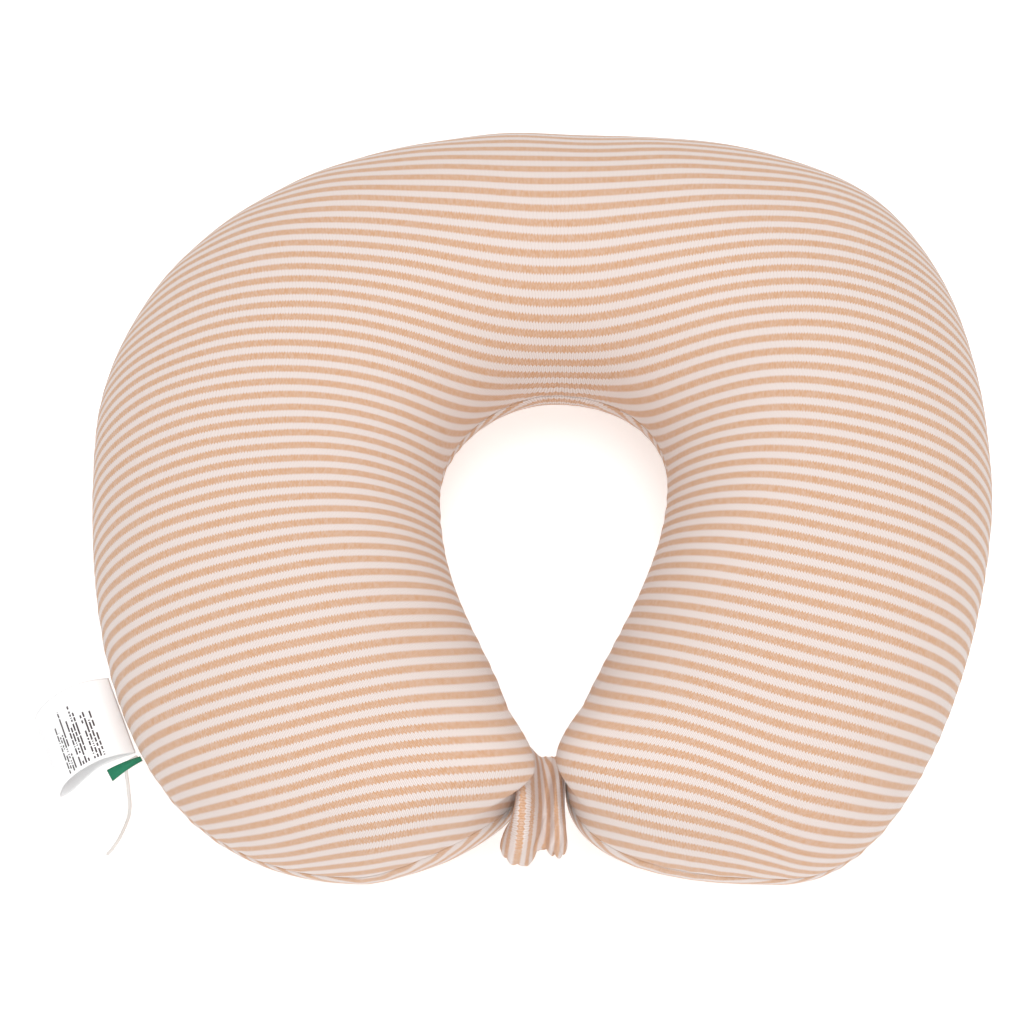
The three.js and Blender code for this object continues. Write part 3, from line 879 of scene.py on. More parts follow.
class SeamPath:
    """A seam drawn as quarter turns, measured along its length."""

    SAMPLES = 300
    SAME_POINT = 1e-9

    def __init__(self, turns: list[Array], inward: int) -> None:
        """Joins the turns.

        Args:
            turns: Each turn's samples.
            inward: 1 where the cloth is to the left of the path, -1 to its right.
        """
        joined = np.concatenate(turns)
        fresh = np.r_[True, np.linalg.norm(np.diff(joined, axis=0), axis=1) > self.SAME_POINT]
        self.samples = joined[fresh]
        steps = np.linalg.norm(np.diff(self.samples, axis=0), axis=1)
        self.run = np.r_[0, np.cumsum(steps)]
        along = np.gradient(self.samples, self.run, axis=0)
        along /= np.linalg.norm(along, axis=1, keepdims=True)
        self.normals = inward * np.stack([-along[:, 1], along[:, 0]], axis=1)

    @property
    def length(self) -> float:
        """The whole length of the path."""
        return float(self.run[-1])

    @classmethod
    def turn(cls, start: Array, end: Array, leave: int, arrive: int, reach: tuple) -> Array:
        """A curve that leaves along one axis and arrives along another.

        Args:
            start: Its first point.
            end: Its last point.
            leave: The axis that it leaves along.
            arrive: The axis that it arrives along.
            reach: How far its two handles reach, as shares.

        Returns:
            Its samples.
        """
        first, second = start.copy(), end.copy()
        first[leave] += reach[0] * (end[leave] - start[leave])
        second[arrive] += reach[1] * (start[arrive] - end[arrive])
        t = np.linspace(0, 1, cls.SAMPLES)[:, None]
        return (
            (1 - t) ** 3 * start + 3 * (1 - t) ** 2 * t * first
            + 3 * (1 - t) * t**2 * second + t**3 * end
        )

    def at(self, share: Array, inset: float = 0.0) -> Array:
        """Points of the path, moved into the cloth.

        Args:
            share: Shares of the path's length.
            inset: How far in.

        Returns:
            The points, two numbers each.
        """
        wanted = share * self.run[-1]
        moved = self.samples + inset * self.normals
        return np.stack([np.interp(wanted, self.run, moved[:, k]) for k in (0, 1)], axis=-1)


X, Y = 0, 1


@dataclass
class Arm:
    """One arm's seams, from its tip to the middle of the back, and how its stripes lie.

    The end lay gives the stripe at the origin and the stripes for each metre across, back
    and up, round the arm's tip. Further back the stripe stations say, by share of the arm,
    which stripe is at the crest, how many stripes further the outer seam is, and how the
    stripes bow between.
    """

    side: Side
    reach: float
    widest_y: float
    lobe_x: float
    tip: tuple[float, float]
    hole_y: float
    shoulder: tuple[float, float]
    flank: tuple[float, float]
    lobe: tuple[float, float]
    hole_side: tuple[float, float]
    hole_crown: tuple[float, float]
    overhang: float
    end_lay: tuple[float, float, float, float]
    stripes: tuple[tuple[float, float, float, float], ...]

    LOBE_Y = -242 * MM
    HOLE_CROWN_Y = 67 * MM
    HALF_HOLE = 69 * MM
    LAY_SPAN = 133 * MM  # the cloth's half breadth that a stripe's tilt is given over

    def __post_init__(self) -> None:
        """Draws the two seams."""
        sign = self.side.value

        def at(x: float, y: float) -> Array:
            """A point at the arm's own side."""
            return np.array([sign * x, y])

        tip, lobe = at(*self.tip), at(self.lobe_x, self.LOBE_Y)
        widest, back = at(self.reach, self.widest_y), at(0, BACK_Y)
        hole, crown = at(self.HALF_HOLE, self.hole_y), at(0, self.HOLE_CROWN_Y)
        turn = SeamPath.turn
        self.outer = SeamPath(
            [
                turn(tip, lobe, Y, X, self.lobe),
                turn(lobe, widest, X, Y, self.flank),
                turn(widest, back, Y, X, self.shoulder),
            ],
            sign,
        )
        self.inner = SeamPath(
            [turn(tip, hole, Y, Y, self.hole_side), turn(hole, crown, Y, X, self.hole_crown)],
            -sign,
        )

    def stripe_lay(self, share: Array, aside: Array) -> Array:
        """Which stripe is at each place of the arm.

        Args:
            share: The place along the arm, one for each row.
            aside: The way along the cloth from the crest to the outer seam, by row and column.

        Returns:
            Stripes, counted towards the front.
        """
        stations = np.array(self.stripes)
        crest, tilt, bow = (
            through_stations(stations[:, 0], stations[:, k], share)[:, None] for k in (1, 2, 3)
        )
        t = aside / self.LAY_SPAN
        return crest + tilt * t + bow * t**2


@dataclass
class PadForm:
    """The padded form of the pillow, over and under its side seam."""

    seam_height: float = 70 * MM
    crown: float = 80 * MM
    sink: float = 4 * MM
    full_loft_breadth: float = 200 * MM
    section_power: float = 0.95
    under_power: float = 1.15
    seam_gap: float = 0.5 * MM
    overhang_reach: float = 38 * MM
    end_lay_fades: tuple[float, float] = (60 * MM, 150 * MM)
    overhang_rises: tuple[float, float] = (0.3, 0.55)  # shares of the crown's height
    overhang_ends: tuple[float, float] = (0.8, 1.1)
    zip_opening: float = 11 * MM
    zip_from_middle: float = 34 * MM
    zip_length: float = 165 * MM
    tape_overrun: float = 10 * MM
    stop_length: float = 3 * MM
    rim_fades: tuple[float, float] = (2, 2.2)  # in tape overruns, at the zip's two ends
    left: Arm = field(
        default_factory=lambda: Arm(
            Side.LEFT, 281 * MM, 36 * MM, 113 * MM, (20 * MM, -190 * MM), -1 * MM,
            shoulder=(0.26, 0.85), flank=(0.83, 0.46), lobe=(0.31, 0.26),
            hole_side=(0.41, 0.47), hole_crown=(0.54, 0.45), overhang=15 * MM,
            end_lay=(18.59, 6.1, -115.2, -47.3),
            stripes=(
                (0, 38.8, 8, 4.3), (0.12, 37.5, 7.6, 3.6), (0.28, 30.2, 2.2, 1.3),
                (0.46, 18.9, -3.8, -0.2), (0.64, 6.9, -8.6, -1.1), (0.82, -2.4, -11.4, 0),
                (1, -6.1, -13.2, 0.3),
            ),
        )
    )
    right: Arm = field(
        default_factory=lambda: Arm(
            Side.RIGHT, 266 * MM, 8 * MM, 131 * MM, (6 * MM, -180 * MM), 10 * MM,
            shoulder=(0.85, 0.69), flank=(0.64, 0.26), lobe=(0.65, 0.68),
            hole_side=(0.26, 0.4), hole_crown=(0.45, 0.71), overhang=9 * MM,
            end_lay=(18.61, -19.5, -110.4, -46.5),
            stripes=(
                (0, 36.9, 9.1, 2.6), (0.12, 35.7, 7.9, 3.5), (0.28, 28.1, 3, 2.5),
                (0.46, 17, -3.7, 0.8), (0.64, 5.9, -8.6, -0.8), (0.82, -3.1, -11.7, -0.8),
                (1, -6.1, -13.2, 0.3),
            ),
        )
    )

    def soft_power(self, value: Array, level: Level) -> Array:
        """A sine or cosine made a little squarer on top and a little more pointed below."""
        power = self.section_power if level is Level.TOP else self.under_power
        return np.sign(value) * np.abs(value) ** power

    def surface(
        self, arm: Arm, share: Array, angle: Array, level: Level, inset: float, lift: float
    ) -> Array:
        """Places of one arm's surface, in the pillow's own frame.

        Args:
            arm: The arm.
            share: Shares along it, one for each row.
            angle: Angles round the section from the outer seam, by row and column.
            level: Top or bottom.
            inset: Depth under the cover's face.
            lift: Half the gap between the panels.

        Returns:
            The places, by row and column.
        """
        outer, inner = arm.outer.at(share, inset), arm.inner.at(share, inset)
        half = (outer - inner) / 2
        full = self.full_loft_breadth - 2 * inset
        breadth = np.minimum(2 * np.linalg.norm(half, axis=1) / full, 1)
        loft = np.sqrt(1 - (1 - breadth) ** 2)[:, None] * self.soft_power(np.sin(angle), level)
        aside = self.soft_power(np.cos(angle), level)[..., None]
        plan = (outer + inner)[:, None] / 2 + half[:, None] * aside
        height = self.crown if level is Level.TOP else self.seam_height + self.sink
        rise = lift + (height - inset - lift) * loft
        if level is Level.TOP:
            z = self.seam_height + rise
            plan[..., 0] -= arm.side.value * arm.overhang * self.overhang(arm, plan, rise)
        else:
            z = np.maximum(self.seam_height - rise, inset)
        return np.concatenate([plan, z[..., None]], axis=-1)

    def overhang(self, arm: Arm, plan: Array, rise: Array) -> Array:
        """How much of its overhang an arm's top has at each place.

        Args:
            arm: The arm.
            plan: The places' x and y.
            rise: Their heights over the seam.

        Returns:
            Shares of the arm's overhang.
        """
        share = rise / self.crown
        full = smooth_step(share, *self.overhang_rises) * (
            1 - smooth_step(share, *self.overhang_ends)
        )
        away = np.linalg.norm(plan - arm.outer.at(np.zeros(1))[0], axis=-1)
        return full * np.exp(-((away / self.overhang_reach) ** 2))

    def rim(self, share: Array) -> Array:
        """Half the gap between the cover's lips along the left arm's seam.

        Args:
            share: Shares along the arm.

        Returns:
            Half gaps.
        """
        from_middle = (1 - share) * self.left.outer.length
        start = self.zip_from_middle - self.stop_length
        near, far = (fade * self.tape_overrun for fade in self.rim_fades)
        opened = smooth_step(from_middle, start - near, start)
        end = self.zip_from_middle + self.zip_length + self.stop_length
        closed = smooth_step(from_middle, end, end + far)
        return self.seam_gap / 2 + (self.zip_opening - self.seam_gap) / 2 * opened * (1 - closed)

    @staticmethod
    def rows(steps: int) -> Array:
        """Shares along an arm, closer together at its tip."""
        even, crowding = np.linspace(0, 1, steps + 1), 0.6
        return (1 - crowding) * even + crowding * even**2

    @staticmethod
    def columns(facets: int) -> Array:
        """Shares round a section, closer together at both seams."""
        even = np.linspace(0, 1, facets + 1)
        return even - 0.5 * np.sin(2 * math.pi * even) / (2 * math.pi)


@dataclass
class ClothPanel:
    """A panel of cloth over both arms: its places, its seams' distances and its lay."""

    form: PadForm
    level: Level
    steps: int
    facets: int
    inset: float = 0.0
    zipped: bool = True

    ROUNDS = 1500
    SETTLED = 1e-12
    LEAST_AREA = 1e-16

    def __post_init__(self) -> None:
        """Works out the panel's tables, left arm first."""
        share = self.form.rows(self.steps)
        spread = self.form.columns(self.facets)
        tables = []
        for arm, along in ((self.form.left, share), (self.form.right, share[::-1][1:])):
            lift = self.form.seam_gap / 2
            start = np.zeros_like(along)
            if self.zipped and arm is self.form.left:
                extra = (self.form.rim(along) - lift) / self.form.crown
                power = 1 if self.level is Level.TOP else self.form.under_power
                start = np.arcsin(np.clip(extra, 0, 1) ** (1 / power))
            angle = start[:, None] + spread * (math.pi - start[:, None])
            places = self.form.surface(arm, along, angle, self.level, self.inset, lift)
            steps = np.linalg.norm(np.diff(places, axis=1), axis=2)
            arc = np.concatenate([np.zeros((len(along), 1)), np.cumsum(steps, axis=1)], axis=1)
            crest = np.array([np.interp(math.pi / 2, a, run) for a, run in zip(angle, arc)])
            stripes = arm.stripe_lay(along, crest[:, None] - arc)
            stripes = self.flat_at_tip(arm, places, stripes)
            sign = -arm.side.value
            seams = [sign * (1 - along) * path.length for path in (arm.outer, arm.inner)]
            tables.append((places, arc, stripes, np.array(seams).T))
        self.places, self.arc, self.stripes, self.seams = (
            np.concatenate(parts) for parts in zip(*tables)
        )
        self.to_outer = self.arc
        self.to_inner = self.arc[:, -1:] - self.arc

    def flat_at_tip(self, arm: Arm, places: Array, stripes: Array) -> Array:
        """Lays the stripes straight round an arm's tip.

        Args:
            arm: The arm.
            places: Its places.
            stripes: Its stripes.

        Returns:
            The stripes, evened near the tip.
        """
        tip = np.append(arm.outer.at(np.zeros(1))[0], self.form.seam_height)
        away = np.linalg.norm(places - tip, axis=2)
        rise = np.abs(places[..., 2] - self.form.seam_height)
        first, across, back, up = arm.end_lay
        flat = first + across * places[..., 0] + back * places[..., 1] + up * rise
        kept = smooth_step(away, *self.form.end_lay_fades)
        return kept * stripes + (1 - kept) * flat

    def normals(self) -> Array:
        """The panel's unit normals.

        Returns:
            Vectors out of the pillow, by row and column.
        """
        along, across = np.gradient(self.places, axis=0), np.gradient(self.places, axis=1)
        normal = np.cross(along, across)
        length = np.linalg.norm(normal, axis=2, keepdims=True)
        normal = normal / np.maximum(length, TINY)
        flip = np.sign((normal[..., 2] * length[..., 0]).sum()) * self.level.value
        return normal * flip

    def press(self, offset: Array) -> None:
        """Moves the panel along its normals."""
        self.places = self.places + self.normals() * offset[..., None]

    def wales(self) -> Array:
        """How far across the stripes each place is, so that the wales cross them squarely.

        The cloth's own coordinate is found by least squares over the whole panel.

        Returns:
            Metres, by row and column.
        """
        place, stripe = self.places, self.stripes
        pu, pv = np.gradient(place, axis=0), np.gradient(place, axis=1)
        su, sv = np.gradient(stripe, axis=0), np.gradient(stripe, axis=1)
        e, f, g = (pu * pu).sum(-1), (pu * pv).sum(-1), (pv * pv).sum(-1)
        scale = np.maximum(e * g - f * f, self.LEAST_AREA)
        by_u, by_v = (g * su - f * sv) / scale, (e * sv - f * su) / scale
        rise = by_u[..., None] * pu + by_v[..., None] * pv
        across = np.cross(np.cross(pu, pv), rise)
        across /= np.maximum(np.linalg.norm(across, axis=2, keepdims=True), TINY)
        rows = ((across[1:] + across[:-1]) / 2 * np.diff(place, axis=0)).sum(-1)
        columns = ((across[:, 1:] + across[:, :-1]) / 2 * np.diff(place, axis=1)).sum(-1)

        def gather(by_row: Array, by_column: Array) -> Array:
            """Adds up each edge's pull at its two ends.

            Args:
                by_row: The pulls of the edges from row to row.
                by_column: The pulls of the edges from column to column.

            Returns:
                The sum at each place.
            """
            total = np.zeros(stripe.shape)
            total[1:] += by_row
            total[:-1] -= by_row
            total[:, 1:] += by_column
            total[:, :-1] -= by_column
            return total

        def pulled(value: Array) -> Array:
            """The pull of every edge for a trial coordinate."""
            return gather(np.diff(value, axis=0), np.diff(value, axis=1))

        found = place[..., 0] * np.sign((across[..., 0]).sum())
        left = gather(rows, columns) - pulled(found)
        step, size = left.copy(), (left * left).sum()
        for _ in range(self.ROUNDS):
            reaction = pulled(step)
            share = size / (step * reaction).sum()
            found = found + share * step
            left = left - share * reaction
            smaller = (left * left).sum()
            if smaller < self.SETTLED:
                break
            step, size = left + smaller / size * step, smaller
        return found


@dataclass
class Cover:
    """The zipped jersey cover: a top and a bottom panel."""

    form: PadForm
    wardrobe: Wardrobe
    thickness: float = 1.2 * MM
    steps: int = 250
    facets: int = 60
    rolled: float = 1.2 * MM
    roll_width: float = 2.4 * MM
    pucker: float = 0.5 * MM
    hole_pucker: float = 0.55 * MM
    pucker_reach: float = 13 * MM
    pucker_wave: float = 17 * MM
    hole_pucker_wave: float = 13 * MM
    unevenness: float = 0.9 * MM
    calm_reach: tuple[float, float] = (5 * MM, 45 * MM)  # from the seams
    tip_reach: float = 60 * MM  # the cloth is held flatter this near an arm's tip
    least_at_tip: float = 0.25

    @staticmethod
    def ripple(run: Array, wave: float, phase: float) -> Array:
        """An irregular row of gathers along a seam.

        Args:
            run: The way along the seam.
            wave: The gathers' usual spacing.
            phase: Sets this row apart from others.

        Returns:
            Heights from about -1 to 1.
        """
        turn = 2 * math.pi * run / wave
        uneven = 1.1 * np.sin(turn * 0.173 + phase) + 0.8 * np.sin(turn * 0.291 + 2 * phase)
        size = 0.55 + 0.45 * np.sin(turn * 0.117 + 3 * phase)
        return size * np.sin(turn + uneven)

    def shape(self, panel: ClothPanel) -> None:
        """Rolls a panel's edges into the seam and gathers the cloth beside it.

        Args:
            panel: The panel, changed in place.
        """
        outer, inner = panel.seams[:, :1], panel.seams[:, 1:]
        phase = 0.7 * panel.level.value
        roll = np.zeros_like(panel.arc)
        gathers = np.zeros_like(panel.arc)
        for away, run, wave, size, twist in (
            (panel.to_outer, outer, self.pucker_wave, self.pucker, 0.4),
            (panel.to_inner, inner, self.hole_pucker_wave, self.hole_pucker, 1.9),
        ):
            roll -= self.rolled * np.exp(-away / self.roll_width)
            fade = np.exp(-away / self.pucker_reach) * (1 - np.exp(-away / self.roll_width))
            gathers += size * fade * self.ripple(run, wave, phase + twist)
        x, y, _ = np.moveaxis(panel.places, 2, 0)
        broad = (
            np.sin(38 * x + 11 * y + phase) * np.sin(29 * y - 17 * x + 1.3)
            + 0.5 * np.sin(71 * y + 23 * x + 2.1 * phase) * np.sin(63 * x + 0.4)
        )
        middle = np.minimum(panel.to_outer, panel.to_inner)
        calm = smooth_step(middle, *self.calm_reach)
        tip = smooth_step(np.abs(outer).max() - np.abs(outer), 0, self.tip_reach)
        edges = (roll + gathers) * np.maximum(tip, self.least_at_tip)
        panel.press(edges + self.unevenness * broad * calm * tip)
        panel.places[..., 2] = np.maximum(panel.places[..., 2], 0)

    def build(self) -> None:
        """Builds and dresses both panels."""
        for level in Level:
            panel = ClothPanel(self.form, level, self.steps, self.facets)
            self.shape(panel)
            lay = np.stack([panel.stripes, panel.wales()], axis=-1)
            facing = Vector((0, 0, level.value))
            word = level.name.lower()
            piece = new_piece(f"cover_{word}", cloth_grid(row_frame(panel.places), lay, facing))
            give_thickness(piece, self.thickness)
            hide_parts(f"cover_{word}_left", f"cover_{word}_right")
            self.wardrobe.dress(piece, "striped_knit")
            bend_with_arms(piece)
            report(piece)


def bend_with_arms(piece: bpy.types.Object) -> None:
    """Bakes a piece's placement into its mesh."""
    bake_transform(piece)


def report(piece: bpy.types.Object) -> None:
    """Logs a piece's name and number of faces."""
    log.info("%s: %d faces", piece.name, len(piece.data.polygons))


@dataclass
class InnerPillow:
    """The liner and its filling, as closed forms inside the cover."""

    form: PadForm
    wardrobe: Wardrobe
    liner_inset: float = 6.5 * MM
    fill_inset: float = 8.5 * MM
    facet_lay: float = 4 * MM  # how far the weave runs on from facet to facet
    steps: int = 90
    facets: int = 24

    def body(self, name: str, inset: float) -> bpy.types.Object:
        """A closed form at a depth under the cover.

        Args:
            name: The piece's name.
            inset: How deep.

        Returns:
            The piece.
        """
        panels = [
            ClothPanel(self.form, level, self.steps, self.facets, inset, zipped=False)
            for level in Level
        ]
        places = np.concatenate([panels[0].places, panels[1].places[:, ::-1]], axis=1)
        closed = np.concatenate([places, places[:, :1]], axis=1)
        run = np.arange(closed.shape[1]) * self.facet_lay
        lay = np.stack(
            [np.broadcast_to(run, closed.shape[:2]), closed[..., 1] + closed[..., 0]], axis=-1
        )
        piece = new_piece(name, cloth_grid(row_frame(closed), lay))
        bend_with_arms(piece)
        report(piece)
        return piece

    def build(self) -> None:
        """Builds and dresses the liner and the filling."""
        liner = self.body("inner_liner", self.liner_inset)
        quarters = (f"liner_{level.name}_{side.name}".lower() for level in Level for side in Side)
        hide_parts(*quarters)
        self.wardrobe.dress(liner, "liner_cotton")
        fill = self.body("fibre_fill", self.fill_inset)
        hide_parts("fibre_fill_left", "fibre_fill_right")
        self.wardrobe.dress(fill, "polyester_fibre")


@dataclass
class Zip:
    """The zip in the back of the left seam: tapes, coils, stops, slider and pull."""

    form: PadForm
    wardrobe: Wardrobe
    tape_width: float = 12 * MM
    tape_thickness: float = 0.6 * MM
    coil_width: float = 1.9 * MM
    coil_inset: float = 1.4 * MM
    gap: float = 0.3 * MM
    pitch: float = 1.35 * MM
    wire: float = 0.33 * MM
    coil_squareness: float = 0.7
    tape_ribs: float = 2.5
    rib_height: float = 0.12 * MM
    stitch: float = 2.6 * MM
    stitch_overruns: tuple[float, float] = (6 * MM, 8 * MM)  # past the zip's two ends
    thread_radius: float = 0.24 * MM
    thread_stands: float = 0.1 * MM  # over the cover's face
    hem: float = 2.2 * MM
    lip_radius: float = 0.9  # the section's own beside the lip, as a share of the crown

    def __post_init__(self) -> None:
        """Finds the true arc that the slider runs on."""
        length = self.form.left.outer.length
        ends = self.form.zip_from_middle + self.form.zip_length * np.array([0, 0.5, 1])
        a, b, c = self.form.left.outer.at(1 - ends / length)
        ab, ac = b - a, c - a
        twist = 2 * (ab[0] * ac[1] - ab[1] * ac[0])
        offset = np.array([
            ac[1] * (ab @ ab) - ab[1] * (ac @ ac), ab[0] * (ac @ ac) - ac[0] * (ab @ ab),
        ]) / twist
        self.centre = a + offset
        self.radius = float(np.hypot(*offset))
        self.start = math.atan2(*(a - self.centre)[::-1])

    def along(self, distance: Array, inset: Array, height: Array) -> Array:
        """Places beside the zip's arc.

        Args:
            distance: The way along the coil.
            inset: Depth under the seam's line.
            height: Height over the seam.

        Returns:
            The places, in the row frame.
        """
        angle = self.start + distance / self.radius
        reach = self.radius - inset
        x = self.centre[0] + reach * np.cos(angle)
        y = self.centre[1] + reach * np.sin(angle)
        return row_frame(np.stack([x, y, self.form.seam_height + height], axis=-1))

    def tape(self, name: str, sign: int) -> bpy.types.Object:
        """One tape, with a rib woven at its outer edge.

        Args:
            name: Its name.
            sign: 1 above the seam, -1 below.

        Returns:
            The piece.
        """
        overrun = self.form.tape_overrun
        run = np.linspace(-overrun, self.form.zip_length + overrun, 120)
        up = self.gap / 2 + np.linspace(0, 1, 17) * self.tape_width
        face = self.coil_inset + self.coil_width + self.gap + up**2 / self.form.crown / 2
        rib = self.rib_height * np.sin(up / self.tape_width * 2 * math.pi * self.tape_ribs) ** 2
        distance, height = np.meshgrid(run, up, indexing="ij")
        places = self.along(distance, (face - rib)[None] + 0 * distance, sign * height)
        lay = np.stack([height, distance], axis=-1)
        outward = Vector((math.cos(self.start), math.sin(self.start), 0))
        piece = new_piece(name, cloth_grid(places, lay, outward))
        give_thickness(piece, self.tape_thickness)
        return piece

    def coil(self, name: str, sign: int) -> bpy.types.Object:
        """One half of the coil: a flattened spiral of nylon.

        Args:
            name: Its name.
            sign: 1 above the seam, -1 below.

        Returns:
            The piece.
        """
        turns = int(self.form.zip_length / self.pitch)
        phase = np.linspace(0, turns * 2 * math.pi, turns * 10 + 1)
        half = (self.coil_width - 2 * self.wire) / 2
        run = self.wire + phase / (2 * math.pi) * (self.form.zip_length - 2 * self.wire) / turns
        middle_up = self.gap / 2 + self.coil_width / 2
        middle_in = self.coil_inset + self.coil_width / 2
        squash = np.sign(np.cos(phase)) * np.abs(np.cos(phase)) ** self.coil_squareness
        line = self.along(
            run + 0.25 * self.pitch * np.sin(phase + 0.5 * sign),
            middle_in - half * np.sin(phase), sign * (middle_up + half * squash),
        )
        places, lay = swept_tube(line, np.full((1, 6), self.wire))
        return new_piece(name, cloth_grid(places, lay))

    def stitches(self, name: str, sign: int) -> bpy.types.Object:
        """A row of stitches that holds a lip of the cover to its tape.

        Args:
            name: Its name.
            sign: 1 above the zip, -1 below.

        Returns:
            The piece.
        """
        form, level = self.form, Level(sign)
        near = form.zip_from_middle - self.stitch_overruns[0]
        far = form.zip_from_middle + form.zip_length + self.stitch_overruns[1]
        run = np.arange(near, far, self.stitch)
        lift = form.seam_gap / 2
        turn_in = self.hem / (self.lip_radius * form.crown)

        def places(distance: Array) -> Array:
            """Places along the lip, a hem's width from its edge.

            Args:
                distance: From the middle of the back.

            Returns:
                The places, in the row frame.
            """
            share = 1 - distance / form.left.outer.length
            angle = np.arcsin((form.rim(share) - lift) / form.crown) + turn_in
            at = form.surface(
                form.left, share, angle[:, None], level, -self.thread_stands, lift
            )
            return row_frame(at[:, 0])

        shape = bmesh.new()
        for a, b in zip(places(run + 0.15 * self.stitch), places(run + 0.85 * self.stitch)):
            along = Vector(b - a)
            turn = along.to_track_quat("X", "Z").to_matrix().to_4x4()
            size = Matrix.Diagonal((along.length / 2, self.thread_radius, self.thread_radius, 1))
            place = Matrix.Translation(Vector((a + b) / 2)) @ turn @ size
            bmesh.ops.create_uvsphere(shape, u_segments=6, v_segments=5, radius=1, matrix=place)
        shape.loops.layers.uv.new(LAY)
        return new_piece(name, shape)

    def build(self) -> None:
        """Builds the zip and sets its pieces on their bodies."""
        for word, sign in (("upper", 1), ("lower", -1)):
            tape, coil = self.tape(f"tape_{word}", sign), self.coil(f"coil_{word}", sign)
            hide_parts(f"zip_tape_{word}")
            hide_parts(f"zip_coil_{word}")
            seam = self.stitches(f"lip_stitches_{word}", sign)
            stop = eased_copy(f"zip_top_stop_{word}", f"top_stop_{word}", 0.25 * MM)
            self.wardrobe.dress(tape, "tape_cloth")
            self.wardrobe.dress(coil, "coil_nylon")
            self.wardrobe.dress(seam, "stitch_thread", "striped_knit")
            self.wardrobe.dress(stop, "zip_metal")
            for piece in (tape, coil, seam, stop):
                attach(piece, "left_arm")
                report(piece)
        for node, name, body, bevel in (
            ("zip_bottom_stop", "bottom_stop", "left_arm", 0.3 * MM),
            ("zip_slider", "slider_body", "slider", 0.25 * MM),
            ("zip_pull", "pull_tab", "pull", 0.2 * MM),
        ):
            piece = eased_copy(node, name, bevel)
            self.wardrobe.dress(piece, "zip_metal")
            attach(piece, body)
            report(piece)


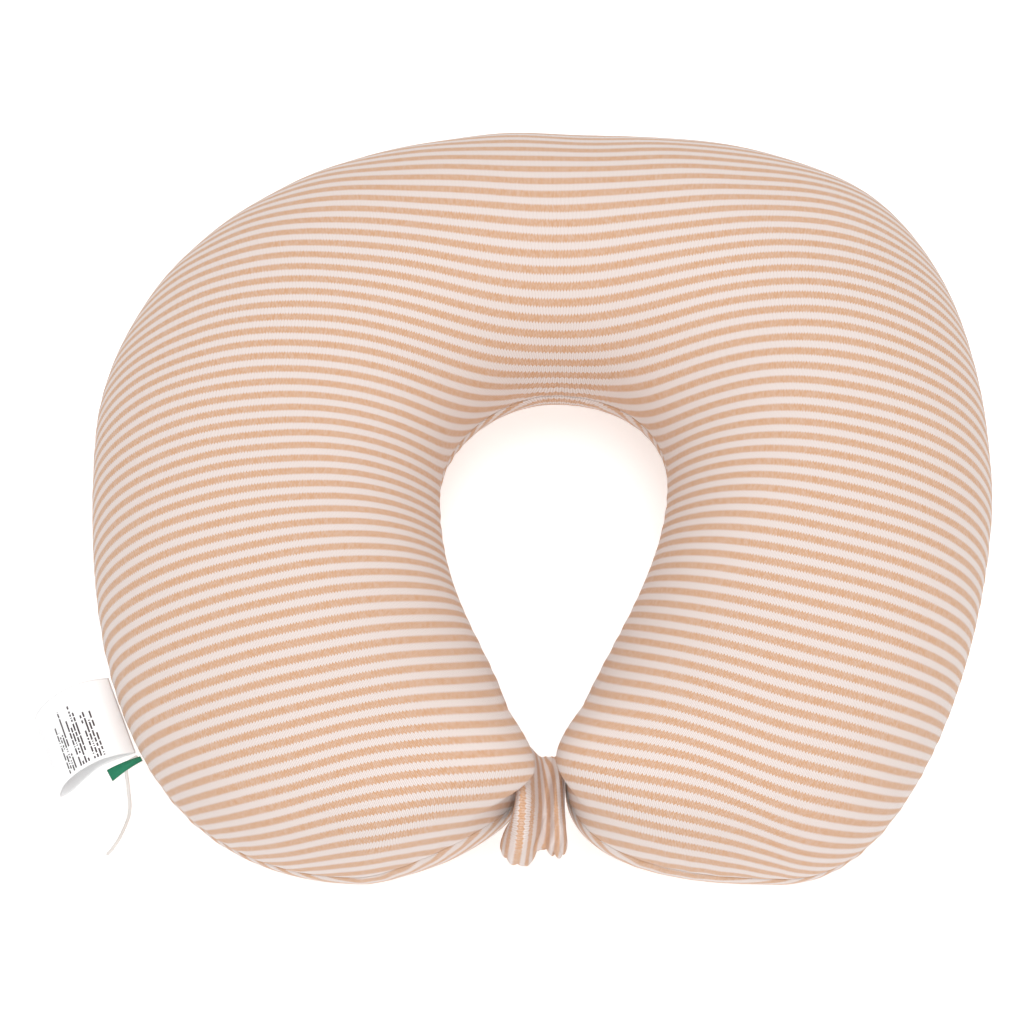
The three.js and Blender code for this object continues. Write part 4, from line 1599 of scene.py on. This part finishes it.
@dataclass
class Tie:
    """The gathered sleeve and its elastic, between the arm tips."""

    form: PadForm
    wardrobe: Wardrobe
    wall: float = 1.0 * MM
    # Each main fold's middle along the sleeve, half its width, and its height.
    folds: tuple[tuple[float, float, float], ...] = (
        (0.22, 0.22, 28 * MM), (0.83, 0.15, 10 * MM),
    )
    hollow: float = 12.5 * MM  # how far the sleeve's top lies under its folds
    # The same for the two lobes that its front end hangs in; the height is a share.
    lobes: tuple[tuple[float, float, float], ...] = ((0.24, 0.27, 1.0), (0.8, 0.17, 0.5))
    lobe_depth: float = 10 * MM
    loops: float = 6.3  # small loops along the lobes
    loop_depth: float = 2.6 * MM
    stripe_pair: float = 7.6 * MM
    twist: float = 1.3  # stripes that the cloth is turned by round the sleeve
    flare: float = 3 * MM  # how much wider its front is
    lean: float = 5 * MM  # how far the highest fold leans to the left
    lean_place: tuple[float, float] = (0.15, 0.25)  # its middle and half its width
    under_depth: float = 3 * MM
    front_drift: float = 10 * MM
    unequal: float = 1.6 * MM  # how unequally far forward its front end reaches
    gathers: float = 7  # fine gathers along the sleeve
    gather_depth: float = 0.35 * MM
    pinch: float = 4 * MM  # how much thinner the arms' tips hold it
    sway: float = 1.2 * MM
    stations: int = 110
    facets: int = 110

    def sleeve(self) -> bpy.types.Object:
        """The sleeve: a flattened tube whose folds and gathers run round it.

        Returns:
            The piece.
        """
        low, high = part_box("tie_casing")
        middle, size = (low + high) / 2, high - low
        along = np.linspace(0, 1, self.stations + 1)[:, None]
        angle = np.linspace(0, 2 * math.pi, self.facets + 1)[None]
        top = np.maximum(np.sin(angle), 0) ** 0.8
        front = np.maximum(-np.cos(angle), 0) ** 1.4
        under = np.maximum(-np.sin(angle), 0)
        drift = 0.04 * np.sin(2 * angle + 0.5) + 0.02 * np.sin(5 * angle)

        def bumps(rows: tuple, sharp: float) -> Array:
            """Adds up bumps along the sleeve."""
            return sum(
                size * np.exp(-(np.abs((along + drift - place) / width) ** sharp))
                for place, width, size in rows
            )

        uneven = along + 0.045 * np.sin(2 * math.pi * 1.3 * along) + 1.5 * drift
        loops = np.abs(np.sin(math.pi * self.loops * uneven)) ** 0.8
        short = self.unequal * np.sin(11 * along + 1)
        gathers = np.sin(2 * math.pi * (self.gathers * along + 0.8 * np.sin(3 * angle)))
        held = (2 * along - 1) ** 8
        dip = (
            top * (self.hollow - bumps(self.folds, 2.6)) + front * self.loop_depth * (1 - loops)
            + front * self.lobe_depth * (1 - bumps(self.lobes, 4))
            + under * self.under_depth * (1 - loops)
            + self.gather_depth * gathers + self.pinch * held
        )
        y = middle.y + np.cos(angle) * (size.y / 2 - 0.8 * dip) + short * front
        z = middle.z + np.sin(angle) * (size.z / 2 - dip)
        place, width = self.lean_place
        to_left = self.front_drift * front * (1 - along) ** 1.2 + (0.5 - along) * self.flare * front
        to_left = to_left + self.lean * top * np.exp(-(((along - place) / width) ** 2))
        x = low.x + along * size.x - to_left + self.sway * np.sin(2 * angle + 0.6) * (1 - held)
        places = np.stack(np.broadcast_arrays(x, y, z), axis=-1)
        steps = np.linalg.norm(np.diff(places, axis=0), axis=2)
        cloth = np.concatenate([np.zeros((1, self.facets + 1)), np.cumsum(steps, axis=0)])
        run = np.broadcast_to(angle * (size.y + size.z) / 4, cloth.shape)
        stripe = cloth.mean(axis=1, keepdims=True) / self.stripe_pair
        stripe = stripe + self.twist * np.cos(angle + 0.9)
        lay = np.stack([stripe, run], axis=-1)
        piece = new_piece("tie_sleeve", self.open_tube(places, lay))
        give_thickness(piece, self.wall)
        return piece

    @staticmethod
    def open_tube(places: Array, lay: Array) -> bmesh.types.BMesh:
        """A tube that stays open at both ends, facing outwards.

        Args:
            places: By station and angle.
            lay: The cloth's coordinates.

        Returns:
            The bmesh.
        """
        shape = cloth_grid(places, lay, Vector((0, 0, 1)))
        heart = Vector(places.reshape(-1, 3).mean(axis=0))
        shape.normal_update()
        if sum(f.normal.dot(f.calc_center_median() - heart) for f in shape.faces) < 0:
            bmesh.ops.reverse_faces(shape, faces=shape.faces[:])
        return shape

    def elastic(self) -> bpy.types.Object:
        """The flat elastic inside the sleeve, ribbed along its length.

        Returns:
            The piece.
        """
        low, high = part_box("tie_elastic")
        angle = np.linspace(0, 2 * math.pi, 49)[None]
        along = np.linspace(0, 1, 13)[:, None]
        rounded = np.sign(np.cos(angle)) * np.abs(np.cos(angle)) ** 0.3
        flat = np.sign(np.sin(angle)) * np.abs(np.sin(angle)) ** 0.6
        y = (low.y + high.y) / 2 + rounded * (high.y - low.y) / 2 + 0 * along
        z = (low.z + high.z) / 2 + flat * (high.z - low.z) / 2 + 0 * along
        x = low.x + along * (high.x - low.x) + 0 * angle
        places = np.stack([x, y, z], axis=-1)
        return new_piece("tie_band", cloth_grid(places, places[..., :2]))

    def build(self) -> None:
        """Builds both pieces, which stretch between the tips."""
        for piece, node, finish in (
            (self.sleeve(), "tie_casing", "striped_knit"),
            (self.elastic(), "tie_elastic", "knit_elastic"),
        ):
            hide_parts(node)
            self.wardrobe.dress(piece, finish)
            bend_with_arms(piece)
            report(piece)


@dataclass
class SeamFrame:
    """A place on the left seam: out of the cover, along the seam to the tip, and up."""

    form: PadForm
    from_tip: float

    def place(self, out: Array, along: Array, up: Array) -> Array:
        """Places given from this point of the seam.

        Args:
            out: Out of the cover.
            along: Towards the arm's tip.
            up: Over the seam.

        Returns:
            The places, in the row frame.
        """
        path = self.form.left.outer
        share = self.from_tip / path.length
        foot = path.at(np.array([share]))[0]
        inward = path.at(np.array([share]), 1.0)[0] - foot
        outward = -inward / np.linalg.norm(inward)
        to_tip = np.array([-outward[1], outward[0]])
        to_tip *= -np.sign(to_tip[1])
        plan = foot + np.multiply.outer(out, outward) + np.multiply.outer(along, to_tip)
        height = self.form.seam_height + up
        return row_frame(np.concatenate([plan, height[..., None]], axis=-1))


@dataclass
class SewnIn:
    """The care label, the ribbon tab and the string, sewn into the left seam."""

    form: PadForm
    wardrobe: Wardrobe
    label_from_tip: float = 293 * MM
    label_width: float = 50 * MM
    label_reach: float = 50 * MM
    label_rise: float = 9 * MM
    label_drop: float = 24 * MM
    label_thickness: float = 0.32 * MM
    label_root: float = 0.3 * MM  # half the gap between its two ends
    label_wave: float = 2.2 * MM
    label_twist: float = 1.5 * MM
    face_gap: float = 0.5 * MM
    tab_from_label: float = 4.5 * MM
    tab_length: float = 21 * MM
    tab_width: float = 7.7 * MM
    tab_root: float = 3 * MM  # its width where the seam pinches it
    tab_thickness: float = 0.35 * MM
    tab_layers: float = 0.85 * MM  # how far the green face is over the back
    tab_cup: float = 1.1 * MM
    tab_arch: float = 1.2 * MM
    tab_droop: float = 1.5 * MM
    tab_split: float = 1.2 * MM
    string_diameter: float = 2.1 * MM
    string_length: float = 100 * MM
    strands: int = 3
    strand_turn: float = 6.5 * MM
    string_clearance: float = 0.25 * MM

    # Out of the cover and towards the tip, in millimetres, and the share of the way up from
    # the surface to the seam.
    STRING_ROUTE = np.array([
        (1.7, -2.8, 0.974), (5.1, -2.9, 0.971), (8.2, -2.9, 0.948), (10.2, -2.7, 0.891),
        (11.4, -2.2, 0.796), (12.4, -1.6, 0.68), (13.5, -1.1, 0.549), (14.7, -0.7, 0.418),
        (15.9, -0.2, 0.287), (17.1, 0.5, 0.17), (18.7, 1.6, 0.076), (21.1, 3.7, 0.019),
        (24.4, 6.6, 0.001), (28.5, 10, 0), (33.1, 13.4, 0), (37.9, 16.1, 0),
        (43.1, 18.2, 0),
    ])

    def tab_place(self) -> SeamFrame:
        """The place on the seam that the tab and the string come out of."""
        offset = self.label_width / 2 + self.tab_from_label
        return SeamFrame(self.form, self.label_from_tip - offset)

    def string(self) -> None:
        """Builds the loose string of twisted cotton."""
        rest = self.string_diameter / 2 + self.string_clearance
        out, along, share = self.STRING_ROUTE.T
        up = (share - 1) * (self.form.seam_height - rest)
        route = self.tab_place().place(out * MM, along * MM, up)
        line = smooth_line(route, 150)
        angle = np.linspace(0, 2 * math.pi, 25)[None]
        lobes = 0.88 + 0.16 * np.abs(np.cos(self.strands / 2 * angle))
        taper = np.ones((len(line), 1))
        taper[0], taper[-1] = 0.5, 0.75
        turns = self.string_length / self.strand_turn
        places, lay = swept_tube(line, self.string_diameter / 2 * lobes * taper, turns)
        piece = new_piece("string_tail", cloth_grid(places, lay))
        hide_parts("tag_string")
        self.wardrobe.dress(piece, "cotton_cord")
        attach(piece, "left_arm")
        report(piece)

    def label(self) -> None:
        """Builds the satin strip, a sheet folded into a loop with both ends in the seam."""
        reach, rise, drop = self.label_reach, self.label_rise, self.label_drop
        loop = smooth_line(
            np.array([
                (0, self.label_root), (0.2 * reach, 0.75 * rise), (0.42 * reach, rise),
                (0.68 * reach, 0.4 * rise), (0.9 * reach, -0.35 * drop), (reach, -drop),
                (0.86 * reach, -0.95 * drop), (0.66 * reach, -0.5 * drop),
                (0.4 * reach, -0.1 * rise), (0, -self.label_root),
            ]),
            97,
        )
        across = np.linspace(-0.5, 0.5, 41)
        run = np.r_[0, np.cumsum(np.linalg.norm(np.diff(loop, axis=0), axis=1))]
        out = loop[:, :1] + 0 * across
        along = across * self.label_width + 0 * loop[:, :1]
        share = loop[:, :1] / reach
        wave = self.label_wave * np.sin(across * 5) - self.label_twist * across
        up = loop[:, 1:] + share * wave
        seam = SeamFrame(self.form, self.label_from_tip)
        places = seam.place(out + self.face_gap, along, up)
        lay = np.stack(np.broadcast_arrays(self.label_width / 2 - along, run[:, None]), axis=-1)
        piece = new_piece("label_loop", cloth_grid(places, lay, Vector((0, 0, 1))))
        give_thickness(piece, self.label_thickness, 0)
        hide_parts("care_label")
        self.wardrobe.dress(piece, "label_satin")
        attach(piece, "left_arm")
        report(piece)

    def tab(self) -> None:
        """Builds the ribbon tab: green above, its pale back below, pinched at the seam."""
        seam = self.tab_place()
        share = np.linspace(0, 1, 25)[:, None]
        across = np.linspace(-0.5, 0.5, 13)[None]
        width = self.tab_root + (self.tab_width - self.tab_root) * share
        out = self.face_gap + share * (self.tab_length - self.face_gap) + 0 * across
        along = across * width
        cup = self.tab_cup * (1 - share) * np.cos(2 * math.pi * across)
        bow = self.tab_arch * np.sin(math.pi * share) - self.tab_droop * share**2
        for name, lift, finish, facing in (
            ("ribbon_tab", self.tab_layers, "tab_ribbon", 1),
            ("ribbon_tab_back", 0, "ribbon_back", -1),
        ):
            up = lift + cup + bow
            if facing < 0:
                up = up - self.tab_split * share * (0.5 - across)
            places = seam.place(out, along, up)
            lay = np.stack(np.broadcast_arrays(across * self.tab_width, out), axis=-1)
            piece = new_piece(name, cloth_grid(places, lay, Vector((0, 0, facing))))
            give_thickness(piece, self.tab_thickness)
            if facing > 0:
                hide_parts("seam_tab")
            self.wardrobe.dress(piece, finish, "tab_ribbon")
            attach(piece, "left_arm")
            report(piece)


@dataclass
class Studio:
    """The camera, the pale floor and the soft light."""

    azimuth: float = 0.21
    elevation: float = 65.0
    distance: float = 1.5
    target: tuple[float, float, float] = (-25.53 * MM, -6.69 * MM, 60 * MM)
    lens: float = 86.17
    sensor: float = 36.0
    floor_size: float = 8.0
    air_tint: tuple[float, float, float, float] = (1.0, 0.995, 0.99, 1)
    air_glow: float = 0.6
    aim: tuple[float, float, float] = (0, 0, 0.05)
    # Each lamp's name, place, side and power in watts.
    lamps: tuple[tuple[str, tuple[float, float, float], float, float], ...] = (
        ("softbox_over", (0.0, 0.2, 2.2), 1.8, 29), ("softbox_front", (0.2, -1.6, 1.8), 1.4, 17),
    )

    def camera(self) -> None:
        """Sets the camera above the front of the pillow."""
        turn, rise = math.radians(self.azimuth), math.radians(self.elevation)
        back = Vector((
            math.sin(turn) * math.cos(rise), -math.cos(turn) * math.cos(rise), math.sin(rise),
        ))
        data = bpy.data.cameras.new("camera")
        data.lens = self.lens
        data.sensor_width = self.sensor
        camera = bpy.data.objects.new("camera", data)
        bpy.context.scene.collection.objects.link(camera)
        camera.location = Vector(self.target) + ORIGIN + self.distance * back
        camera.rotation_euler = (-back).to_track_quat("-Z", "Y").to_euler()
        bpy.context.scene.camera = camera

    def floor(self, wardrobe: Wardrobe) -> None:
        """Lays the floor.

        Args:
            wardrobe: The finishes.
        """
        shape = bmesh.new()
        bmesh.ops.create_grid(shape, x_segments=4, y_segments=4, size=self.floor_size / 2)
        shape.loops.layers.uv.new(LAY)
        piece = new_piece("floor", shape)
        piece.data.materials.append(wardrobe.made["pale_floor"])

    def lamp(self, name: str, place: Vector, size: float, power: float) -> None:
        """A square soft light aimed at the pillow.

        Args:
            name: Its name.
            place: Where it stands.
            size: Its side.
            power: In watts.
        """
        data = bpy.data.lights.new(name, "AREA")
        data.size = size
        data.energy = power
        lamp = bpy.data.objects.new(name, data)
        bpy.context.scene.collection.objects.link(lamp)
        lamp.location = place
        lamp.rotation_euler = (Vector(self.aim) - place).to_track_quat("-Z", "Y").to_euler()

    def light(self) -> None:
        """Sets the surroundings and the lamps."""
        world = bpy.data.worlds.new("studio")
        world.use_nodes = True
        background = world.node_tree.nodes["Background"]
        background.inputs["Color"].default_value = self.air_tint
        background.inputs["Strength"].default_value = self.air_glow
        bpy.context.scene.world = world
        for name, place, size, power in self.lamps:
            self.lamp(name, Vector(place), size, power)
        bpy.context.scene.view_settings.view_transform = "Standard"


def main() -> None:
    """Builds the studio and the pillow, piece by piece."""
    logging.basicConfig(level=logging.INFO, format="%(name)s: %(message)s")
    studio = Studio()
    studio.camera()
    wardrobe = Wardrobe()
    form = PadForm()
    sewn_in = SewnIn(form, wardrobe)
    sewn_in.string()
    Cover(form, wardrobe).build()
    InnerPillow(form, wardrobe).build()
    Zip(form, wardrobe).build()
    Tie(form, wardrobe).build()
    sewn_in.label()
    sewn_in.tab()
    studio.floor(wardrobe)
    studio.light()


if __name__ == "__main__":
    main()
